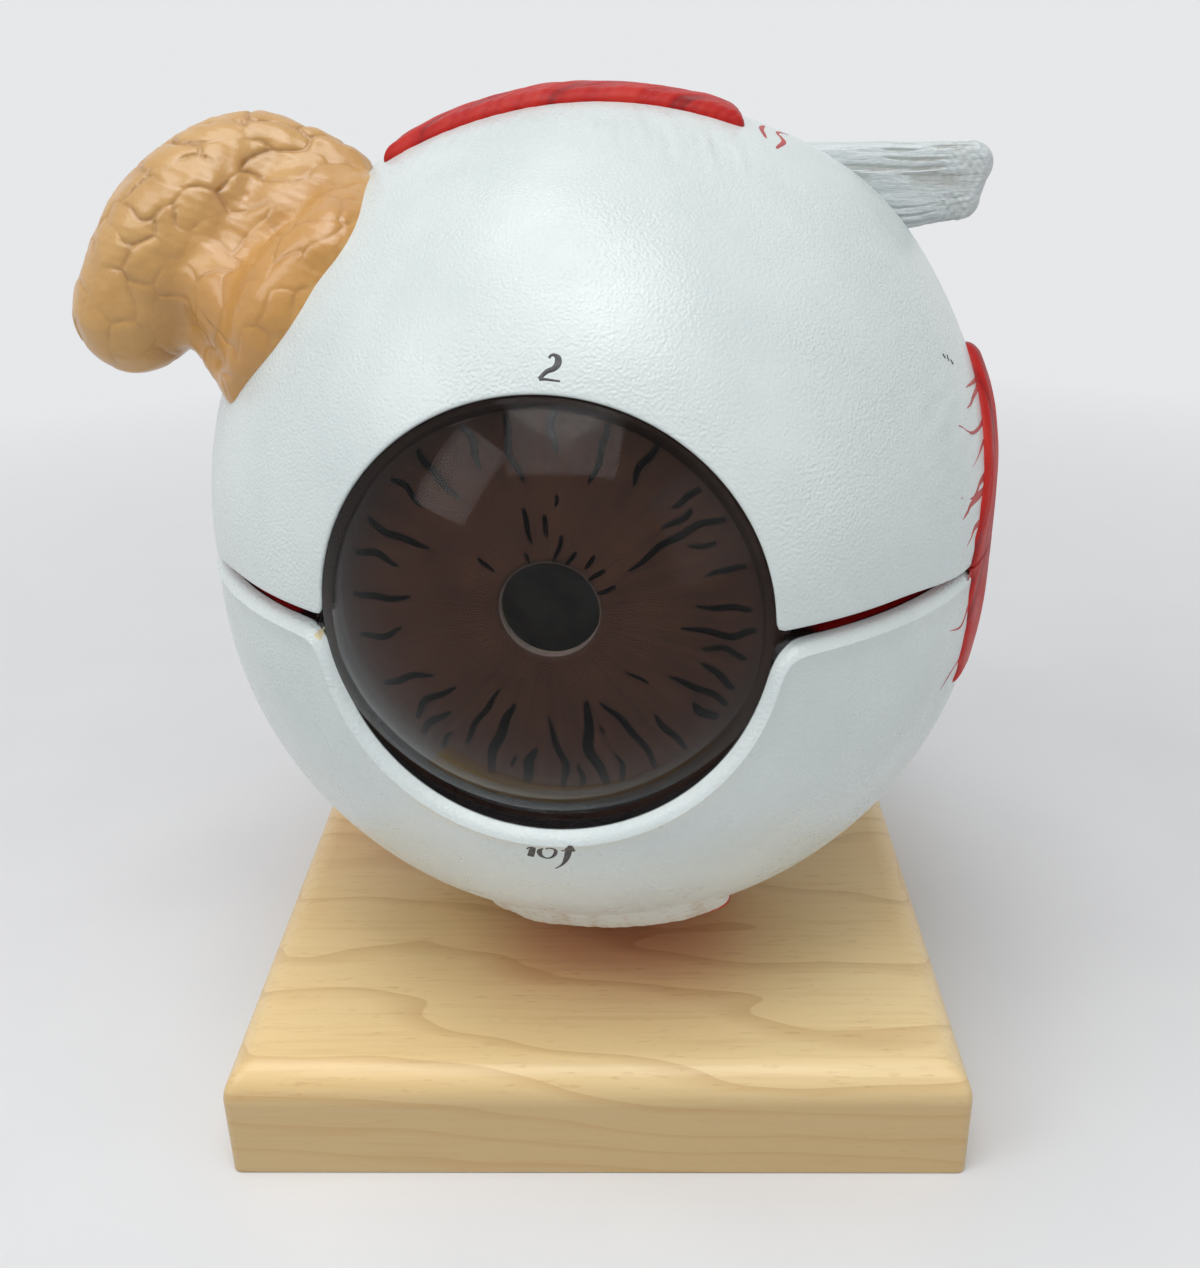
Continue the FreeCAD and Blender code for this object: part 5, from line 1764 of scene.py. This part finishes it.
@dataclass
class TearGland:
    """Tear gland: a bent lobe, a web, a saddle and a tail under it and a hem on the shell.

    Balls along five lines of x, y, z and radius melt into one form, and its relief is worked out
    point by point.
    """

    lobe: Line = (
        (-66.4, -19.0, 32.4, 9.0), (-58.0, -15.0, 42.8, 11.7), (-50.5, -9.2, 50.4, 9.2),
        (-41.9, -9.0, 51.1, 6.5), (-34.4, -10.2, 50.8, 3.8))
    web: Line = (
        (-58.0, -15.0, 42.8, 8.2), (-50.0, -21.0, 36.0, 7.6), (-42.0, -26.0, 31.0, 8.0))
    hem: Line = (
        (-46.2, -28.6, 24.4, 4.2), (-39.3, -28.2, 33.0, 8.2), (-36.0, -26.0, 38.0, 8.2),
        (-32.4, -25.2, 42.0, 6.8), (-32.1, -15.6, 46.8, 5.0))
    saddle: Line = (
        (-47.5, -17.5, 40.0, 7.0), (-42.5, -15.5, 44.8, 6.6), (-37.0, -14.0, 47.5, 5.4))
    tail: Line = (
        (-58.0, -18.0, 34.0, 5.0), (-52.0, -22.0, 28.5, 4.2), (-47.5, -26.5, 22.8, 3.4))
    melt_voxel: float = 0.0011
    melt_steps: int = 9
    sink: float = 0.5
    cell_gap: float = 4.4
    warp: float = 1.1
    crack_narrow: float = 0.45
    crack_broad: float = 1.5
    lean_limit: float = 0.26
    lean_height: float = 0.8
    crack_depth: float = 0.5
    flow_height: float = 0.07
    wave_height: float = 0.1
    tip_x: float = -60.0
    finish: GlandOchre = GlandOchre()

    def beads(self, line: Sequence[Sequence[float]], count: int) -> List[Surface]:
        """Balls along a flowing line of places and radii: (r sin a cos b, r sin a sin b, r cos a)."""
        chain = flowing_line(np.array(line), count)
        polar = np.linspace(0.0, math.pi, 18)[1:-1, None]
        turn = np.linspace(0.0, 2.0 * math.pi, 32, endpoint=False)[None, :]
        ball = as_points(np.sin(polar) * np.cos(turn), np.sin(polar) * np.sin(turn), np.cos(polar))
        pole = np.array([0.0, 0.0, 1.0])
        return [Surface.grid(ball * r + (x, y, z), pole * r + (x, y, z), -pole * r + (x, y, z))
                for x, y, z, r in chain]

    def melted(self) -> bpy.types.Object:
        """The balls made one skin with eased valleys, two subdivisions fine."""
        lines = ((self.lobe, 26), (self.web, 10), (self.hem, 22), (self.tail, 10), (self.saddle, 12))
        balls = [ball for line, count in lines for ball in self.beads(line, count)]
        piece = Surface.joined(balls).to_object("tear_gland")
        remesh = piece.modifiers.new("melt", "REMESH")
        remesh.mode, remesh.voxel_size = "VOXEL", self.melt_voxel
        smooth = piece.modifiers.new("ease", "SMOOTH")
        smooth.factor, smooth.iterations = 0.5, self.melt_steps
        finer = piece.modifiers.new("finer", "SUBSURF")
        finer.levels = finer.render_levels = 2
        bake(piece)
        return piece

    def lobules(self, points: Array) -> Tuple[Array, Array]:
        """Cracks and scale-like steps between scattered lobule centres.

        A narrow crack in a broad valley falls off with the difference between the distances of
        the two nearest centres, and each lobule leans its own way.
        """
        draw = np.random.default_rng(78)
        crown = ease((points[:, 2:] - 42.0) / 10.0)
        flat = points + crown * np.array([-0.4, 0.0, 0.3]) * (points - np.array([-52.0, -12.0, 46.0]))
        picks = flat[draw.choice(len(points), 3000, replace=False)]
        kept = [picks[0]]
        for pick in picks[1:]:
            if np.linalg.norm(np.array(kept) - pick, axis=1).min() > self.cell_gap:
                kept.append(pick)
        seeds = np.array(kept)
        warp = np.stack([ripple(points, 6.0, seed) for seed in (41, 42, 43)], axis=-1)
        bent = flat + self.warp * warp
        crack = np.zeros(len(points))
        lean = np.zeros(len(points))
        tilts = draw.normal(size=(len(seeds), 3)) * 0.08
        for part in np.array_split(np.arange(len(points)), 8):
            spread = np.linalg.norm(bent[part, None, :] - seeds, axis=2)
            nearest = spread.argmin(axis=1)
            two = np.partition(spread, 1, axis=1)[:, :2]
            apart = two[:, 1] - two[:, 0]
            crack[part] = (0.55 * np.exp(-(apart / self.crack_narrow) ** 2)
                           + 0.45 * np.exp(-(apart / self.crack_broad) ** 2))
            lean[part] = ((flat[part] - seeds[nearest]) * tilts[nearest]).sum(axis=1)
        present = ease(0.68 + 1.0 * ripple(points, 9.0, 15))
        lean = self.lean_limit * np.tanh(lean / self.lean_limit)
        return crack * (0.1 + 0.9 * present), lean * (0.3 + 0.7 * present)

    def build(self) -> None:
        """Makes the gland: melts the balls, presses the relief in and sinks the foot in the shell.

        The relief fades at the foot, on the skirt's inner side and at the tip.
        """
        piece = self.melted()
        mesh = piece.data
        count = len(mesh.vertices)
        flat = np.empty(count * 3)
        mesh.vertices.foreach_get("co", flat)
        points = EYE.from_row(flat.reshape(-1, 3))
        mesh.vertices.foreach_get("normal", flat)
        normals = EYE.from_row(flat.reshape(-1, 3) / 1000.0) - EYE.from_row(np.zeros((1, 3)))
        above = np.linalg.norm(points - EYE.core(points), axis=-1) - EYE.radius
        free = ease((above + 0.3) / 1.8)
        crack, lean = self.lobules(points)
        flow = ripple(points @ np.array([[0.25, 0.6, 0.3], [0.2, 0.9, 0.2], [0.5, -0.4, 1.4]]), 2.2, 51)
        inner = points @ np.array([0.62, -0.62, -0.48])
        skirt = ease((inner + 43.0) / 16.0)
        upper = ease((points[:, 2] - 36.0) / 8.0)
        tip = ease((self.tip_x - points[:, 0]) / 6.0)
        calm = 1.0 - 0.6 * np.maximum(ease((inner + 43.0) / 6.0), tip)
        lift = free * (self.lean_height * lean * calm - self.crack_depth * crack * calm
                       + self.flow_height * flow * upper + self.wave_height * ripple(points, 5.0, 52))
        moved = points + unit(normals) * lift[:, None]
        core = EYE.core(moved)
        away = np.linalg.norm(moved - core, axis=-1, keepdims=True)
        moved = core + (moved - core) / away * np.maximum(away, EYE.radius - self.sink)
        mesh.vertices.foreach_set("co", EYE.to_row(moved).ravel())
        web = ease((1.3 - above) / 1.0) * ease(0.2 + ripple(points, 2.4, 6)) * 0.5
        # The crease note carries the cracks' painted shade.
        for name, values in (("crease", crack * free * calm), ("skirt", skirt), ("web", web)):
            layer = mesh.attributes.new(name, "FLOAT", "POINT")
            layer.data.foreach_set("value", values.astype(np.float32))
        mesh.shade_smooth()
        mesh.update()
        fit_piece(piece, Body.SCLERA_UPPER, self.finish, ["lacrimal_gland"])


@dataclass
class OpticNerve:
    """Stub of the optic nerve: a ribbed sheath with a bundle of fibres at its end."""

    radius: float = 8.5
    length: float = 14.0
    core_length: float = 2.0
    azimuth: float = 15.0
    clearance: float = 0.35
    finish: NerveYellow = NerveYellow()

    def surface(self) -> Surface:
        """A circle carried straight out of the eye, with the fibres as waves on the end."""
        a = math.radians(self.azimuth)
        way = np.array([math.sin(a), math.cos(a), 0.0])
        side = np.array([math.cos(a), -math.sin(a), 0.0])
        up = np.array([0.0, 0.0, 1.0])
        turn = np.linspace(0.0, 2.0 * math.pi, 160, endpoint=False)
        end = EYE.radius + self.length
        tip = end + self.core_length
        cos, sin = np.cos(turn), np.sin(turn)
        stops = [(1.0, None), (1.0, end - 1.2), (0.985, end - 0.5), (0.95, end - 0.12), (0.88, end),
                 (0.74, end), (0.725, end + 0.3), (0.72, tip - 0.5), (0.69, tip - 0.1), (0.6, tip)]
        stops += [(share, tip) for share in np.linspace(0.55, 0.03, 22)]
        rows = []
        crease = []
        for share, out in stops:
            r = self.radius * share * (1.0 + (0.012 * np.sin(23 * turn) if share > 0.9 else 0.0))
            x, z = r * cos, r * sin
            if out is None:
                reach = np.sqrt((EYE.radius + self.clearance) ** 2 - x ** 2)
            else:
                reach = np.full_like(x, out)
            dimple = np.zeros_like(x)
            if share < 0.65:
                cells = np.cos(2.4 * x + 1.2) * np.cos(2.4 * z) + np.cos(1.5 * (x + 1.7 * z))
                dimple = 0.5 + 0.5 * np.sin(2.2 * cells)
            rows.append((reach - 0.35 * dimple)[:, None] * way + x[:, None] * side
                        + (z + EYE.seam_z)[:, None] * up)
            crease.append(dimple)
        first = way * (EYE.radius + self.clearance) + up * EYE.seam_z
        surface = Surface.grid(np.stack(rows), first, way * tip + up * EYE.seam_z)
        return surface.noted(crease=np.stack(crease))

    def build(self) -> None:
        """Makes the stub."""
        piece = self.surface().to_object("optic_nerve_stub")
        fit_piece(piece, Body.EYE_LOWER, self.finish, ["optic_nerve"])


# ---- stand and studio
@dataclass
class Stand:
    """The CAD pieces that stay in view: board, post, screw, washer, bush and pegs."""

    wood: MapleWood = MapleWood()
    steel: TurnedMetal = TurnedMetal("steel", (0.62, 0.62, 0.61, 1.0), 0.26)
    brass: TurnedMetal = TurnedMetal("bush_brass", (0.78, 0.57, 0.26, 1.0), 0.28)
    plastic: WasherPlastic = WasherPlastic()

    def build(self) -> None:
        """Dresses each node."""
        dress_node("wood_board", self.wood)
        for node in ("board_screw", "support_post", "locating_pegs"):
            dress_node(node, self.steel)
        dress_node("post_bush", self.brass)
        dress_node("thrust_washer", self.plastic)


def plain_rays(tree: bpy.types.NodeTree) -> Socket:
    """A number that is 1 for camera, glossy and transmitted rays, and 0 for the others."""
    path = tree.nodes.new("ShaderNodeLightPath")
    seen = path.outputs["Is Camera Ray"]
    for name in ("Is Glossy Ray", "Is Transmission Ray"):
        either = tree.nodes.new("ShaderNodeMath")
        either.operation = "MAXIMUM"
        tree.links.new(seen, either.inputs[0])
        tree.links.new(path.outputs[name], either.inputs[1])
        seen = either.outputs[0]
    return seen


@dataclass
class Lamp:
    """One soft rectangular lamp that looks at a point."""

    name: str
    place: Triple
    target: Triple
    size: Tuple[float, float]
    watts: float

    def build(self) -> None:
        """Makes the lamp: its back axis points away from the target."""
        data = bpy.data.lights.new(self.name, "AREA")
        data.shape = "RECTANGLE"
        data.size, data.size_y = self.size
        data.energy = self.watts
        back = unit(np.array(self.place) - np.array(self.target))
        side = unit(np.cross(np.array([0.0, 0.0, 1.0]), back))
        put(self.name, data).matrix_world = stand_at(side, np.cross(back, side), back, self.place)


@dataclass
class Studio:
    """Pale floor, soft lamps, world and camera."""

    lens: float = 38.31
    sensor: float = 36.0
    pale: float = 0.82
    pale_colour: Colour = (0.97, 0.98, 1.0, 1.0)
    even_light: float = 0.28
    floor_half: float = 6.0
    floor_z: float = -0.0002
    fade: Tuple[float, float] = (0.16, 0.5)
    eye_place: Triple = (0.006932, -0.211426, 0.162178)
    forward: Triple = (-0.02692, 0.91253, -0.40812)
    right: Triple = (0.99959, 0.02073, -0.01960)
    lamps: Tuple[Lamp, ...] = (
        Lamp("lamp_above", (-0.12, -0.1, 1.1), (0.0, 0.0, 0.1), (0.8, 0.5), 3.9),
        Lamp("lamp_front", (-0.04, -0.55, 1.22), (0.0, 0.0, 0.08), (0.95, 0.6), 5.0),
        Lamp("lamp_window", (-0.54, -0.34, 0.62), (0.0, 0.0, 0.09), (0.34, 0.44), 1.4),
        Lamp("lamp_fill", (0.6, -0.35, 0.35), (0.0, 0.0, 0.08), (0.5, 0.5), 0.55))

    def camera(self) -> None:
        """Puts the camera at its measured place; it sees the whole model from slightly above."""
        data = bpy.data.cameras.new("camera")
        data.lens = self.lens
        data.sensor_width = self.sensor
        data.clip_start, data.clip_end = 0.01, 50.0
        back = -unit(np.array(self.forward))
        side = unit(np.array(self.right) - back * (np.array(self.right) @ back))
        camera = put("camera", data)
        camera.matrix_world = stand_at(side, np.cross(back, side), back, self.eye_place)
        bpy.context.scene.camera = camera

    def floor(self) -> None:
        """A wide pale floor just under the board, which fades into the pale surroundings."""
        mesh = bpy.data.meshes.new("floor")
        far, low = self.floor_half, self.floor_z
        mesh.from_pydata([(-far, -far, low), (far, -far, low), (far, far, low), (-far, far, low)], [],
                         [(0, 1, 2, 3)])
        bench = NodeBench("floor_paper")
        grain = bench.noise(30.0, 3.0)
        colour = bench.mix(bench.span(grain, 0.3, 0.7), ink(226, 227, 229), ink(229, 230, 231))
        mesh.materials.append(bench.done(colour, 0.9))
        glow = bench.add("ShaderNodeEmission", {"Color": self.pale_colour, "Strength": self.pale})
        away = bench.add("ShaderNodeVectorMath", {0: bench.where}, operation="LENGTH").outputs["Value"]
        seen = plain_rays(bench.tree)
        share = bench.times(bench.span(away, *self.fade), seen)
        both = bench.add("ShaderNodeMixShader", {0: share, 1: bench.shader.outputs[0], 2: glow.outputs[0]})
        output = next(node for node in bench.tree.nodes if node.type == "OUTPUT_MATERIAL")
        bench.tree.links.new(both.outputs[0], output.inputs["Surface"])
        floor = put("floor", mesh)

    def world(self) -> None:
        """Pale surroundings for camera, gloss and clear plastic, and a lower even light."""
        world = bpy.data.worlds.new("world")
        bpy.context.scene.world = world
        world.use_nodes = True
        tree = world.node_tree
        tree.nodes.clear()
        strength = tree.nodes.new("ShaderNodeMapRange")
        strength.inputs["To Min"].default_value = self.even_light
        strength.inputs["To Max"].default_value = self.pale
        tree.links.new(plain_rays(tree), strength.inputs["Value"])
        background = tree.nodes.new("ShaderNodeBackground")
        background.inputs["Color"].default_value = self.pale_colour
        tree.links.new(strength.outputs[0], background.inputs["Strength"])
        output = tree.nodes.new("ShaderNodeOutputWorld")
        tree.links.new(background.outputs[0], output.inputs["Surface"])

    def build(self) -> None:
        """Sets the whole studio up."""
        self.camera()
        self.floor()
        self.world()
        for lamp in self.lamps:
            lamp.build()
        bpy.context.scene.view_settings.view_transform = "Standard"


def main() -> None:
    """Builds every sub-assembly in order."""
    logging.basicConfig(level=logging.INFO, format="%(message)s")
    builders = [Studio(), Stand(), InnerCoats(), Optics(), WhiteShells(), PaintedMarks(), Muscles(),
                PulleyTendon(), TearGland(), OpticNerve()]
    for builder in builders:
        LOG.info("building %s", type(builder).__name__)
        builder.build()


if __name__ == "__main__":
    main()
